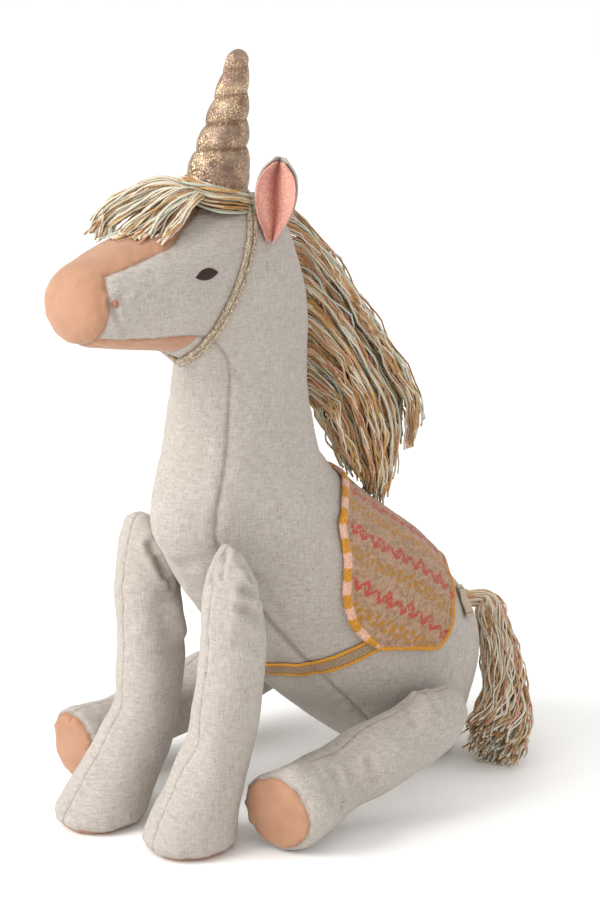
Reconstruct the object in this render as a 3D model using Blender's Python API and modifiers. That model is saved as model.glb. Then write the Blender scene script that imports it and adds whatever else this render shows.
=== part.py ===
"""Sitting plush unicorn with a saddle blanket, as separate sewn pieces.

The animal faces -Y, its left side is +X, and it sits on the floor at Z = 0.
The origin is on the flattened seat, under the body. Lengths below are in
millimetres and MM turns them into metres.
"""

import math

import bmesh
import bpy
from mathutils import Matrix, Vector

MM = 0.001

# Cloth and clearances
CLOTH = 1.2          # thickness of a sewn cover
SEAM_GAP = 0.75      # clearance between two panels that are sewn together
TOUCH_GAP = 0.4      # clearance between a piece and what it lies on
FILL_INSET = 2.4     # from a cover's outside to the filling

# Body and head: one row for each section, from the seat up to the nose.
# (front y, front z, back y, back z, half width, how far the sides bow back,
#  how much narrower the front is than the back)
SEAT_ROW = (-24, 0, 14, 0, 22, 0, 0)
TORSO_ROWS = [
    (-31, 6, 24, 6, 30, 0, 0),
    (-44, 16, 27, 16, 38, 0, 0),
    (-62, 30, 26, 30, 45.5, 0, 0),
    (-78, 44, 31, 44, 50, 0, 0.05),
    (-94, 58, 35, 58, 52, 0, 0.1),
    (-110, 72, 35, 72, 52, 0, 0.15),
    (-123, 86, 28, 86, 51.5, 0, 0.25),
    (-135, 101, 16, 101, 50, 0, 0.33),
    (-146, 116, 2, 116, 48, 0, 0.36),
    (-156, 131, -13, 131, 46, 0, 0.36),
    (-165, 146, -32, 146, 44, 0, 0.36),
    (-169, 160, -50, 160, 42, 0, 0.33),
    (-165.5, 174, -65, 174, 40, 0, 0.25),
    (-159.5, 188, -74, 188, 37.5, 0, 0.15),
    (-155.5, 201, -77.5, 201, 34.5, 0, 0.08),
    (-153, 215, -79, 216, 32, 0, 0),
    (-151, 229, -79, 232, 30.5, 0, 0),
    (-150, 239, -78, 250, 30, 0, 0),
    (-151, 243.5, -79, 268, 30.5, 0, 0),
    (-153, 245, -83, 287, 31, 0, 0),
    (-155.5, 246.5, -89, 305, 31.5, -1, 0),
    (-158.5, 248.3, -99, 318.5, 32, -3, 0),
]
HALTER_ROW = (-164, 250.7, -111.5, 325.2, 32.5, -8, 0)
FACE_ROWS = [
    (-176, 254, -136, 324, 32.5, -5, 0),
    (-192, 258, -158, 318.5, 31, -2, 0),
    (-206.5, 262, -184, 312, 27.5, 0, 0),
]
MUZZLE_ROW = (-216, 265.7, -210, 304.7, 23.5, 0, 0)
NOSE_ROWS = [
    (-219.5, 268, -214.5, 302.3, 21, 0, 0),
    (-221.5, 272, -218, 299.5, 17, 0, 0),
    (-223.2, 278.5, -222, 294.5, 10.5, 0, 0),
]
NOSE_TIP = (0, -223.7, 287)

# Seams that run along the body, as angles round a section: 0 is the chest,
# the belly and the jaw, 180 the spine and the forehead.
BELLY_SEAM = 46
BLAZE_SEAM = 145
COLUMN_STEP = 15
FILL_STEP = 20

# Halter band and girth ribbon
BAND_WIDTH = 5
BAND_THICKNESS = 1
RIBBON_WIDTH = 8
RIBBON_THICKNESS = 0.9
GIRTH_LOW = 78
GIRTH_HIGH = 83
GIRTH_TOP_ANGLE = 64
GIRTH_STEPS = 20

# Horn
HORN_BASE = Vector((0, -130.5, 326))
HORN_TIP = Vector((0, -114, 398))
HORN_RADIUS = 15.3
HORN_TIP_RADIUS = 4.5
HORN_TURNS = 4.5
HORN_GROOVE = 0.18
HORN_COLUMNS = 14
HORN_ROWS = 22
HORN_SEAT_SHARE = 0.25
HORN_SEAT_SLOPE = 0.32
HORN_SEAT_CROWN = 60
THREAD_RADIUS = 0.5
THREAD_LIFT = 1.5

# Ears
EAR_BASE = Vector((29, -114, 309.5))
EAR_TIP = Vector((30, -110, 346))
EAR_FACING = Vector((0.62, -0.76, 0.1))
EAR_HALF_WIDTHS = [3, 5.8, 8.2, 9.7, 10.1, 9.2, 6.6, 1.5]
EAR_CUP = 3.5
EAR_LINING_SIZE = 0.93
EAR_PIVOT = Vector((29, -114, 310.5))

# Eyes and nostrils
EYE_HALF_LENGTH = 5.8
EYE_HALF_HEIGHT = 3.6
EYE_ANGLE = 100
EYE_SHARE = 0.2
NOSTRIL_ANGLE = 100
NOSTRIL_SHARE = 0.8
NOSTRIL_RADIUS = 2
PATCH_THICKNESS = 0.8
PATCH_LIFT = 1.5

# Legs
SOLE = 1.4
LEG_COLUMNS = 14
# (x, y, z, half width, half depth), from the shoulder to the foot
FORELEG_ROWS = {
    "left": [
        (44, -158, 161, 5, 3),
        (44, -158, 155, 9.5, 6),
        (43.5, -157.5, 147, 13, 9.5),
        (43, -156.5, 137, 15.5, 13),
        (42.5, -155, 123, 17, 16),
        (41, -154.5, 103, 17, 17),
        (38.5, -155, 80, 16.5, 17),
        (35.5, -157.5, 58, 17, 17.5),
        (32, -164, 38, 18.5, 20),
        (29, -169, 21, 21.5, 23),
        (28, -171.5, 9, 23.5, 24.5),
        (28, -172, 1.8, 22, 23.5),
    ],
    "right": [
        (-38, -150.5, 154, 8, 4),
        (-38, -150.5, 148, 13, 7),
        (-38, -150, 140, 15.5, 9.5),
        (-37.5, -149, 131, 17, 13),
        (-37, -147.5, 118, 18.5, 16.5),
        (-36, -146.5, 100, 18, 18),
        (-34, -148, 79, 17.5, 17.5),
        (-31, -154, 58, 18, 18),
        (-29, -164, 38, 19.5, 20.5),
        (-28, -178, 21, 21.5, 23.5),
        (-27, -187, 9, 23.5, 25.5),
        (-27, -190, 1.8, 22, 24.5),
    ],
}
# (x, y, z, radius), from the hip to the foot
HINDLEG_ROWS = {
    "left": [
        (62, -24, 50, 7),
        (64, -30, 49.5, 13),
        (67, -43, 46, 17.5),
        (68, -61, 42, 18.5),
        (67, -81, 37, 18),
        (65, -102, 31, 17.5),
        (64, -121, 26, 19),
        (63, -135, 22.6, 22.2),
        (62.5, -144, 22, 21.6),
    ],
    "right": [
        (-62, -24, 45, 7),
        (-64, -31, 44.5, 13),
        (-67, -45, 41, 17.5),
        (-69, -67, 36, 18.5),
        (-70.5, -94, 31, 17.5),
        (-71.5, -121, 27, 17),
        (-71.5, -147, 23.5, 18),
        (-71.5, -163, 21, 20.8),
        (-71.5, -172, 20.7, 20.2),
    ],
}
SHOULDER_PIVOT = {"left": (44, -156, 157), "right": (-38, -148, 150)}
HIP_PIVOT = {"left": (61, -24, 49), "right": (-61, -24, 45)}
# How far the last rings of the left hind foot are turned outward, in degrees
FOOT_TURNS = {"left": (6, 13, 18), "right": (0, 0, 0)}

# Saddle blanket, as (height, angle round the body) of its front and rear
# edges, from the spine down to the hem
BLANKET_FRONT = [
    (172, 180),
    (171, 155),
    (167, 130),
    (157, 109),
    (139, 93),
    (119, 80),
    (101, 74),
    (88, 77),
]
BLANKET_REAR = [
    (112, 180),
    (112, 168),
    (112, 155),
    (110, 142),
    (106, 132),
    (99, 123),
    (89, 113),
    (80, 101),
]
BLANKET_COLUMNS = 7
KNIT_THICKNESS = 1.8
LINING_THICKNESS = 0.8
BLANKET_CLEARANCE = 1.0
LINING_LIFT = BLANKET_CLEARANCE + LINING_THICKNESS
KNIT_LIFT = LINING_LIFT + TOUCH_GAP + KNIT_THICKNESS
BINDING_RADIUS = 1.7
BINDING_GAP = 0.8
LABEL_SIZE = (8, 14, 0.6)
LABEL_PLACE = (97, 137)

# Yarn: the mane as level slices (z, x, inner y, outer y, half thickness), the
# forelock as upright slices (y, x, z, half width, half height), and the tail
# as slices across its run (x, y, z, radius)
MANE_ROWS = [
    (312, 4, -88, -82, 3),
    (300, 6, -82.5, -70, 6),
    (285, 8, -79, -59, 7.5),
    (265, 9, -76.5, -45, 8.5),
    (243, 10, -76, -29, 9.5),
    (220, 11, -76, -14, 10),
    (203, 12, -73, -4, 10),
    (188, 13, -65, -9, 9.5),
    (174, 14, -54, -18, 8),
    (163, 15, -44, -28, 5),
]
MANE_TAPE_HALF_ANGLE = 6
MANE_TAPE_ROWS = 7
MANE_PIVOT = (0, -76, 250)
FORELOCK_ROWS = [
    (-148, 0, 328, 8, 3),
    (-156, -1, 326.5, 13, 4.5),
    (-167, -2, 323, 17, 5.2),
    (-178, -3, 319.5, 19, 5.2),
    (-189, -3, 316, 18, 4.7),
    (-198, -3, 313, 14, 3.5),
]
FORELOCK_PIVOT = (0, -148, 328)
TAIL_ROWS = [
    (3.2, 44.2, 74.2, 4.6),
    (7, 49, 73.5, 6),
    (12, 50.5, 68.5, 8),
    (18, 48.5, 57.5, 9.5),
    (27, 45, 46, 11),
    (37, 38, 34, 13),
    (46, 29, 24.5, 15.5),
    (52, 20, 19, 18),
    (55, 12, 17.5, 16.5),
]
TAIL_BINDING_ROWS = [(0, 38, 74, 4.3), (1.2, 40.5, 74.2, 4.8), (2.6, 43.2, 74.2, 4.4)]
TAIL_PIVOT = (0, 37, 74)

# Colours, (red, green, blue, roughness, metallic)
LINEN = (0.62, 0.57, 0.50, 0.9, 0)
VELVET = (0.83, 0.50, 0.33, 0.8, 0)
PINK = (0.72, 0.38, 0.34, 0.85, 0)
GLITTER = (0.52, 0.36, 0.26, 0.35, 0.8)
GOLD_BAND = (0.62, 0.52, 0.38, 0.45, 0.5)
FILLING = (0.9, 0.9, 0.88, 1.0, 0)
EYE_BROWN = (0.06, 0.03, 0.02, 0.5, 0)
YARN = (0.78, 0.66, 0.50, 0.95, 0)
KNIT = (0.70, 0.52, 0.40, 0.95, 0)
BINDING = (0.80, 0.45, 0.12, 0.9, 0)
COTTON = (0.75, 0.68, 0.58, 0.9, 0)
LABEL = (0.36, 0.28, 0.22, 0.8, 0)
RIBBON = (0.45, 0.36, 0.27, 0.7, 0)


def clear_scene():
    for old in list(bpy.data.objects):
        bpy.data.objects.remove(old, do_unlink=True)


def make_collection(name):
    collection = bpy.data.collections.new(name)
    bpy.context.scene.collection.children.link(collection)
    return collection


def make_material(name, colour):
    material = bpy.data.materials.new(name)
    material.use_nodes = True
    shader = material.node_tree.nodes["Principled BSDF"]
    shader.inputs["Base Color"].default_value = (*colour[:3], 1.0)
    shader.inputs["Roughness"].default_value = colour[3]
    shader.inputs["Metallic"].default_value = colour[4]
    return material


def add_object(name, data, colour, pivot=None):
    """Put a mesh or curve in the collection, with its own material."""
    made = bpy.data.objects.new(name, data)
    data.materials.append(make_material(name, colour))
    PLUSH.objects.link(made)
    if pivot is not None:
        made.location = Vector(pivot) * MM
        data.transform(Matrix.Translation(-made.location))
    return made


def mesh_from(name, points, faces, outward):
    """A mesh in metres from points in millimetres.

    A closed or nearly closed surface is turned to face outward.
    """
    mesh = bpy.data.meshes.new(name)
    mesh.from_pydata([Vector(point) * MM for point in points], [], faces)
    if outward:
        work = bmesh.new()
        work.from_mesh(mesh)
        bmesh.ops.recalc_face_normals(work, faces=work.faces)
        work.to_mesh(mesh)
        work.free()
    mesh.update()
    return mesh


def add_shell(name, points, faces, thickness, colour, pivot=None, outward=False):
    """An open surface given its thickness, inwards."""
    mesh = mesh_from(name, points, faces, outward)
    for polygon in mesh.polygons:
        polygon.use_smooth = True
    shell = add_object(name, mesh, colour, pivot)
    solid = shell.modifiers.new("thickness", "SOLIDIFY")
    solid.thickness = thickness * MM
    solid.offset = -1
    solid.use_even_offset = False
    return shell


def catmull(before, start, end, after, t):
    """A smooth value between start and end."""
    return 0.5 * (
        2 * start
        + (end - before) * t
        + (2 * before - 5 * start + 4 * end - after) * t * t
        + (3 * start - before - 3 * end + after) * t * t * t
    )


def smooth_rows(rows, parts):
    """The rows with parts - 1 smooth rows between each two of them."""
    padded = [rows[0]] + list(rows) + [rows[-1]]
    result = []
    for index in range(len(rows) - 1):
        around = [Vector(row) for row in padded[index : index + 4]]
        for part in range(parts):
            result.append(catmull(*around, part / parts))
    result.append(Vector(rows[-1]))
    return result


# ---------------------------------------------------------------- body


def body_point(row, angle):
    """The skin at an angle in degrees round a body section."""
    front = Vector((0, row[0], row[1]))
    back = Vector((0, row[2], row[3]))
    middle = (front + back) / 2
    along = back - front
    reach = along.length / 2
    along.normalize()
    behind = Vector((0, along.z, -along.y))
    turn = math.radians(angle)
    point = middle - along * reach * math.cos(turn)
    point += behind * row[5] * math.sin(turn) ** 2
    point.x = row[4] * math.sin(turn) * (1 - row[6] * math.cos(turn))
    return point


def seam_row(row, after, gap):
    """The row gap millimetres from row towards after."""
    row, after = Vector(row), Vector(after)
    distance = (after - row).length / math.sqrt(2)
    return row.lerp(after, gap / max(distance, gap))


def body_rows():
    """All rows, and the rows that end the seat, the body and the face."""
    torso = [Vector(row) for row in [SEAT_ROW] + TORSO_ROWS + [HALTER_ROW]]
    face = [Vector(row) for row in [HALTER_ROW] + FACE_ROWS + [MUZZLE_ROW]]
    nose = [Vector(row) for row in [MUZZLE_ROW] + NOSE_ROWS]
    torso[-1] = seam_row(torso[-1], torso[-2], SEAM_GAP)
    torso.insert(1, seam_row(torso[0], torso[1], SEAM_GAP * 3.5))
    face[-1] = seam_row(face[-1], face[-2], SEAM_GAP)
    face[0] = seam_row(face[0], face[1], SEAM_GAP)
    rows = torso + face + nose
    return rows, 1, len(torso), len(torso) + len(face)


def column_angles(row, seams):
    """Angles round a section: even steps, and a close pair at each seam."""
    radius = (row[4] + (Vector(row[2:4]) - Vector(row[0:2])).length / 2) / 2
    half_gap = math.degrees(SEAM_GAP / 2 / radius) * 1.15
    angles = []
    for start, end in zip(seams, seams[1:]):
        steps = round((end - start) / COLUMN_STEP)
        low, high = start + half_gap, end - half_gap
        angles += [low + (high - low) * step / steps for step in range(steps + 1)]
    return angles


def spans(seams):
    """For each column of cells, the seam span it lies in, or None in a gap."""
    columns = []
    for index, (start, end) in enumerate(zip(seams, seams[1:])):
        columns += [index] * round((end - start) / COLUMN_STEP) + [None]
    return columns


BODY_SEAMS = [-BELLY_SEAM, BELLY_SEAM, BLAZE_SEAM, 180, 360 - BLAZE_SEAM, 360 - BELLY_SEAM]


class BodySkin:
    """The skin of torso, neck and head as a grid of rows and columns."""

    def __init__(self):
        self.rows, self.seat, self.body_end, self.face_end = body_rows()
        self.columns = spans(BODY_SEAMS)
        self.rings = []
        for row in self.rows:
            angles = column_angles(row, BODY_SEAMS)
            self.rings.append([body_point(row, angle) for angle in angles])

    def owner(self, row, column):
        """The panel that the cell above a row and after a column is part of."""
        span = self.columns[column]
        before = self.columns[column - 1]
        after = self.columns[(column + 1) % len(self.columns)]
        if row == self.body_end - 1:
            return None
        if row == self.face_end - 1:
            panel = self.face_panel(span, before, after)
            return panel if panel == "muzzle_and_blaze" else None
        if row < self.body_end - 1:
            return self.body_panel(row, span, before, after)
        if row < self.face_end - 1:
            return self.face_panel(span, before, after)
        return "muzzle_and_blaze"

    def body_panel(self, row, span, before, after):
        names = ["chest_belly_gusset", "body_side_left", "body_side_left"]
        names += ["body_side_right", "body_side_right"]
        if row == 0:
            return names[0] if span == 0 else None
        if span is None:
            return names[before] if names[before] == names[after] else None
        return names[span]

    def face_panel(self, span, before, after):
        names = ["jaw_gusset", "head_side_left", "muzzle_and_blaze"]
        names += ["muzzle_and_blaze", "head_side_right"]
        if span is None:
            return names[before] if names[before] == names[after] else None
        return names[span]

    def panel(self, name, colour):
        """Build the panel of one name from the cells that it owns."""
        points = []
        numbers = {}
        faces = []

        def number(row, column):
            key = (row, column)
            if key not in numbers:
                numbers[key] = len(points)
                points.append(self.rings[row][column])
            return numbers[key]

        width = len(self.columns)
        for row in range(len(self.rings) - 1):
            for column in range(width):
                if self.owner(row, column) != name:
                    continue
                following = (column + 1) % width
                faces.append(
                    [
                        number(row, column),
                        number(row, following),
                        number(row + 1, following),
                        number(row + 1, column),
                    ]
                )
        if name == "chest_belly_gusset":
            self.cap(points, faces, number, 0, Vector((0, 0, 0)))
        if name == "muzzle_and_blaze":
            self.cap(points, faces, number, len(self.rings) - 1, Vector(NOSE_TIP))
        return add_shell(name, points, faces, CLOTH, colour)

    def cap(self, points, faces, number, row, centre):
        """Close a row with triangles to a centre point."""
        width = len(self.columns)
        ring = [number(row, column) for column in range(width)]
        points.append(centre)
        middle = len(points) - 1
        for index in range(width):
            following = (index + 1) % width
            if row == 0:
                faces.append([ring[following], ring[index], middle])
            else:
                faces.append([ring[index], ring[following], middle])


def closed_loft(rings, low_centre, high_centre):
    """Points and faces of a solid through rings, closed by end points."""
    width = len(rings[0])
    points = [point for ring in rings for point in ring]
    faces = []
    for row in range(len(rings) - 1):
        for column in range(width):
            following = (column + 1) % width
            low, high = row * width, (row + 1) * width
            faces.append([low + column, low + following, high + following, high + column])
    points += [low_centre, high_centre]
    last = (len(rings) - 1) * width
    for column in range(width):
        following = (column + 1) % width
        faces.append([following, column, len(points) - 2])
        faces.append([last + column, last + following, len(points) - 1])
    return points, faces


def add_loft(name, rings, low_centre, high_centre, colour, pivot=None, inset=0.0):
    """A closed solid through rings, drawn in from them by the inset."""
    points, faces = closed_loft(rings, low_centre, high_centre)
    mesh = mesh_from(name, points, faces, True)
    normals = [vertex.normal.copy() for vertex in mesh.vertices]
    for vertex, normal in zip(mesh.vertices, normals):
        vertex.co -= normal * inset * MM
    for polygon in mesh.polygons:
        polygon.use_smooth = True
    return add_object(name, mesh, colour, pivot)


def body_stuffing(skin):
    """The filling of torso, neck and head, inside the covers."""
    angles = range(0, 360, FILL_STEP)
    gap_rows = (1, skin.body_end, skin.face_end)
    rows = [row for index, row in enumerate(skin.rows) if index not in gap_rows]
    rings = [[body_point(row, angle) for angle in angles] for row in rows]
    low = Vector((0, 0, 0))
    add_loft("body_stuffing", rings, low, Vector(NOSE_TIP), FILLING, inset=FILL_INSET)


def row_at_height(height):
    """The body section at a height, between the seat and the withers."""
    rows = [SEAT_ROW] + TORSO_ROWS
    for low, high in zip(rows, rows[1:]):
        if high[1] >= height:
            share = (height - low[1]) / (high[1] - low[1])
            return Vector(low).lerp(Vector(high), share)
    return Vector(rows[-1])


def above_skin(height, angle, lift):
    """The point that lies a lift outside the torso's skin, and its normal."""
    point = body_point(row_at_height(height), angle)
    round_it = body_point(row_at_height(height), angle + 2)
    round_it -= body_point(row_at_height(height), angle - 2)
    up = body_point(row_at_height(height + 3), angle)
    up -= body_point(row_at_height(height - 3), angle)
    normal = round_it.cross(up).normalized()
    return point + normal * lift, normal


def grid_faces(rows, columns, closed=False):
    """Faces of a grid of points, row after row."""
    faces = []
    for row in range(rows - 1):
        for column in range(columns - 1 + closed):
            following = (column + 1) % columns
            low, high = row * columns, (row + 1) * columns
            faces.append([low + column, low + following, high + following, high + column])
    return faces


def build_halter():
    """The band round the head that covers the seam between cheek and neck."""
    ahead = Vector(FACE_ROWS[0]) - Vector(HALTER_ROW)
    behind = Vector(HALTER_ROW) - Vector(TORSO_ROWS[-1])
    angles = range(0, 360, COLUMN_STEP)
    points = []
    for side, slope in ((-1, behind), (1, ahead)):
        spread = slope.length / math.sqrt(2)
        row = Vector(HALTER_ROW) + slope * side * BAND_WIDTH / 2 / spread
        ring = [body_point(row, angle) for angle in angles]
        centre = sum(ring, Vector()) / len(ring)
        lift = TOUCH_GAP + BAND_THICKNESS + 0.6
        points += [point + (point - centre).normalized() * lift for point in ring]
    add_shell("halter_band", points, grid_faces(2, 24, True), BAND_THICKNESS, GOLD_BAND)


def build_girth():
    """The ribbon under the belly, from hem to hem of the blanket."""
    points = []
    lift = TOUCH_GAP + RIBBON_THICKNESS + 0.8
    for side in (-1, 1):
        for step in range(GIRTH_STEPS + 1):
            angle = GIRTH_TOP_ANGLE * (2 * step / GIRTH_STEPS - 1)
            rise = (GIRTH_HIGH - GIRTH_LOW) * abs(angle) / GIRTH_TOP_ANGLE
            height = GIRTH_LOW + rise + side * RIBBON_WIDTH / 2
            points.append(above_skin(height, angle, lift)[0])
    faces = grid_faces(2, GIRTH_STEPS + 1)
    add_shell("girth_ribbon", points, faces, RIBBON_THICKNESS, RIBBON)


def horn_radius(share, turn):
    """The horn's radius at a share of its height and an angle in turns."""
    taper = HORN_RADIUS + (HORN_TIP_RADIUS - HORN_RADIUS) * share ** 0.85
    coil = HORN_TURNS * share ** 0.85 - turn
    puff = abs(math.sin(math.pi * coil))
    return taper * (1 - HORN_GROOVE * (1 - puff))


def horn_frame():
    """The horn's axis and two directions across it."""
    axis = (HORN_TIP - HORN_BASE).normalized()
    across = Vector((1, 0, 0))
    return axis, across, axis.cross(across)


def horn_ring(share, columns, scale=1.0, shrink=0.0):
    axis, across, other = horn_frame()
    centre = HORN_BASE.lerp(HORN_TIP, share)
    ring = []
    for column in range(columns):
        turn = column / columns
        radius = horn_radius(share, turn) * scale - shrink
        angle = 2 * math.pi * turn
        offset = (across * math.cos(angle) + other * math.sin(angle)) * radius
        seated = max(0, 1 - share / HORN_SEAT_SHARE)
        offset.z += seated * (offset.y * HORN_SEAT_SLOPE - offset.x ** 2 / HORN_SEAT_CROWN)
        ring.append(centre + offset)
    return ring


def build_horn():
    """Cover, filling and the thread that is wound round the horn."""
    shares = [0.97 * row / HORN_ROWS for row in range(HORN_ROWS + 1)]
    rings = [horn_ring(share, HORN_COLUMNS) for share in shares]
    rings.append(horn_ring(0.99, HORN_COLUMNS, 0.75))
    points = [point for ring in rings for point in ring] + [HORN_TIP]
    faces = grid_faces(len(rings), HORN_COLUMNS, True)
    last = (len(rings) - 1) * HORN_COLUMNS
    for column in range(HORN_COLUMNS):
        following = (column + 1) % HORN_COLUMNS
        faces.append([last + column, last + following, len(points) - 1])
    add_shell("horn_cover", points, faces, CLOTH * 0.7, GLITTER, outward=True)
    fill = [horn_ring(share, 12, 1 - HORN_GROOVE, CLOTH + 0.7) for share in (0.02, 0.3, 0.6, 0.85)]
    low = HORN_BASE.lerp(HORN_TIP, 0.02)
    add_loft("horn_stuffing", fill, low, HORN_BASE.lerp(HORN_TIP, 0.9), FILLING)
    build_thread()


def build_thread():
    axis, across, other = horn_frame()
    start, stop, count = 0.24, 0.86, 40
    points = []
    for step in range(count + 1):
        share = start + (stop - start) * step / count
        turn = HORN_TURNS * share ** 0.85
        radius = horn_radius(share, turn % 1) + THREAD_RADIUS + THREAD_LIFT
        angle = 2 * math.pi * turn
        centre = HORN_BASE.lerp(HORN_TIP, share)
        points.append(centre + (across * math.cos(angle) + other * math.sin(angle)) * radius)
    add_tube("horn_thread", points, THREAD_RADIUS, GLITTER, False)


def add_tube(name, points, radius, colour, closed, resolution=1):
    """A thin round thread or binding along points."""
    curve = bpy.data.curves.new(name, "CURVE")
    curve.dimensions = "3D"
    curve.bevel_depth = radius * MM
    curve.bevel_resolution = resolution
    curve.use_fill_caps = True
    spline = curve.splines.new("POLY")
    spline.points.add(len(points) - 1)
    spline.use_cyclic_u = closed
    for target, point in zip(spline.points, points):
        target.co = (*(point * MM), 1.0)
    return add_object(name, curve, colour)


def ear_points(side, lift, size):
    """A cupped leaf, raised a lift towards the side that it faces."""
    up = EAR_TIP - EAR_BASE
    facing = EAR_FACING - up.normalized() * EAR_FACING.dot(up.normalized())
    facing.normalize()
    across = up.normalized().cross(facing)
    points = []
    for index, half_width in enumerate(EAR_HALF_WIDTHS):
        share = index / (len(EAR_HALF_WIDTHS) - 1)
        for part in (-1, -0.6, 0, 0.6, 1):
            point = EAR_BASE + up * share * size + across * half_width * size * part
            point += facing * (EAR_CUP * part * part + lift)
            point.x *= side
            points.append(point)
    return points


def build_ear(name, side):
    """The linen back of an ear and its lining."""
    faces = grid_faces(len(EAR_HALF_WIDTHS), 5)
    if side < 0:
        faces = [face[::-1] for face in faces]
    pivot = Vector((EAR_PIVOT.x * side, EAR_PIVOT.y, EAR_PIVOT.z))
    add_shell(name + "_back", ear_points(side, 0, 1), faces, CLOTH, LINEN, pivot)
    lift = CLOTH + TOUCH_GAP * 3
    add_shell(name + "_lining", ear_points(side, lift, EAR_LINING_SIZE), faces, CLOTH, PINK, pivot)


def face_patch(name, rows, share, angle, half_length, half_height, side, colour):
    """A small domed oval on the side of the head, part way between two body sections."""
    behind, before = rows
    row = Vector(behind).lerp(Vector(before), share)
    centre = body_point(row, angle)
    ahead = (body_point(before, angle) - body_point(behind, angle)).normalized()
    across = body_point(row, angle + 10) - body_point(row, angle - 10)
    normal = ahead.cross(across).normalized()
    if normal.x < 0:
        normal.negate()
    up = normal.cross(ahead)
    count = 12
    points = []
    for reach in (1, 0.6):
        for index in range(count):
            turn = 2 * math.pi * index / count
            shift = ahead * half_length * math.cos(turn) + up * half_height * math.sin(turn)
            lift = PATCH_LIFT + (1 - reach) * PATCH_THICKNESS
            points.append(centre + shift * reach + normal * lift)
    points.append(centre + normal * (PATCH_LIFT + PATCH_THICKNESS * 0.6))
    faces = grid_faces(2, count, True)
    faces += [[count + index, count + (index + 1) % count, 2 * count] for index in range(count)]
    for point in points:
        point.x *= side
    if side < 0:
        faces = [face[::-1] for face in faces]
    add_shell(name, points, faces, PATCH_THICKNESS, colour)


def build_face():
    cheek = (FACE_ROWS[0], FACE_ROWS[1])
    snout = (FACE_ROWS[2], MUZZLE_ROW)
    for name, side in (("left", 1), ("right", -1)):
        eye = (EYE_HALF_LENGTH, EYE_HALF_HEIGHT, side, EYE_BROWN)
        nostril = (NOSTRIL_RADIUS, NOSTRIL_RADIUS, side, PINK)
        face_patch("eye_" + name, cheek, EYE_SHARE, EYE_ANGLE, *eye)
        face_patch("nostril_" + name, snout, NOSTRIL_SHARE, NOSTRIL_ANGLE, *nostril)


def level_ring(x, y, z, half_width, half_depth, columns=LEG_COLUMNS):
    ring = []
    for column in range(columns):
        turn = 2 * math.pi * column / columns
        ring.append(Vector((x + half_width * math.cos(turn), y + half_depth * math.sin(turn), z)))
    return ring


def path_rings(rows, columns=LEG_COLUMNS, turns=(0,)):
    """Round rings square to the path through rows of (x, y, z, radius), the
    last of them turned about the vertical by turns in degrees."""
    centres = [Vector(row[:3]) for row in rows]
    rings = []
    for index, row in enumerate(rows):
        before = centres[max(index - 1, 0)]
        after = centres[min(index + 1, len(rows) - 1)]
        along = (after - before).normalized()
        place = index - len(rows) + len(turns)
        if place >= 0:
            along.rotate(Matrix.Rotation(math.radians(turns[place]), 3, "Z"))
        across = Vector((0, 0, 1)).cross(along).normalized()
        up = along.cross(across)
        ring = []
        for column in range(columns):
            turn = 2 * math.pi * column / columns
            offset = across * math.cos(turn) + up * math.sin(turn)
            ring.append(centres[index] + offset * row[3])
        rings.append(ring)
    return rings


def leg_pieces(name, rings, top, outward, pivot):
    """Cover, filling and sole of a leg, from rings that run down to its foot."""
    count = len(rings[0])
    points = [point for ring in rings for point in ring] + [top]
    faces = grid_faces(len(rings), count, True)
    faces += [[(index + 1) % count, index, len(points) - 1] for index in range(count)]
    add_shell(name + "_cover", points, faces, CLOTH, LINEN, pivot, outward=True)
    middle = sum(rings[-1], Vector()) / count
    add_loft(name + "_stuffing", rings, top, middle, FILLING, pivot, FILL_INSET)
    near = [middle + (point - middle) * 0.97 + outward * TOUCH_GAP for point in rings[-1]]
    far = [point + outward * SOLE for point in near]
    near_middle = middle + outward * TOUCH_GAP
    far_middle = near_middle + outward * SOLE
    add_loft(name + "_sole", [near, far], near_middle, far_middle, VELVET, pivot)


def build_legs():
    for side, rows in FORELEG_ROWS.items():
        rings = [level_ring(*row) for row in rows]
        top = Vector(rows[0][:3]) + Vector((0, 0, 1.2))
        pivot = SHOULDER_PIVOT[side]
        leg_pieces("foreleg_" + side, rings, top, Vector((0, 0, -1)), pivot)
    for side, rows in HINDLEG_ROWS.items():
        turns = FOOT_TURNS[side]
        rings = path_rings(rows, turns=turns)
        first, second = Vector(rows[0][:3]), Vector(rows[1][:3])
        before_last, last = Vector(rows[-2][:3]), Vector(rows[-1][:3])
        top = first - (second - first).normalized() * 2
        outward = (last - before_last).normalized()
        outward.rotate(Matrix.Rotation(math.radians(turns[-1]), 3, "Z"))
        leg_pieces("hindleg_" + side, rings, top, outward, HIP_PIVOT[side])


def blanket_point(row, column, lift):
    """A point of the blanket, from its left hem over the spine to the right."""
    front = smooth_rows(BLANKET_FRONT, 2)
    rear = smooth_rows(BLANKET_REAR, 2)
    share = column / BLANKET_COLUMNS
    height, angle = front[abs(row)].lerp(rear[abs(row)], share)
    return above_skin(height, angle if row <= 0 else 360 - angle, lift)[0]


def blanket_rows():
    last = 2 * (len(BLANKET_FRONT) - 1)
    return range(-last, last + 1)


def blanket_layer(name, lift, thickness, colour):
    points = []
    for row in blanket_rows():
        for column in range(BLANKET_COLUMNS + 1):
            points.append(blanket_point(row, column, lift))
    faces = grid_faces(len(blanket_rows()), BLANKET_COLUMNS + 1)
    add_shell(name, points, faces, thickness, colour)


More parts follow.
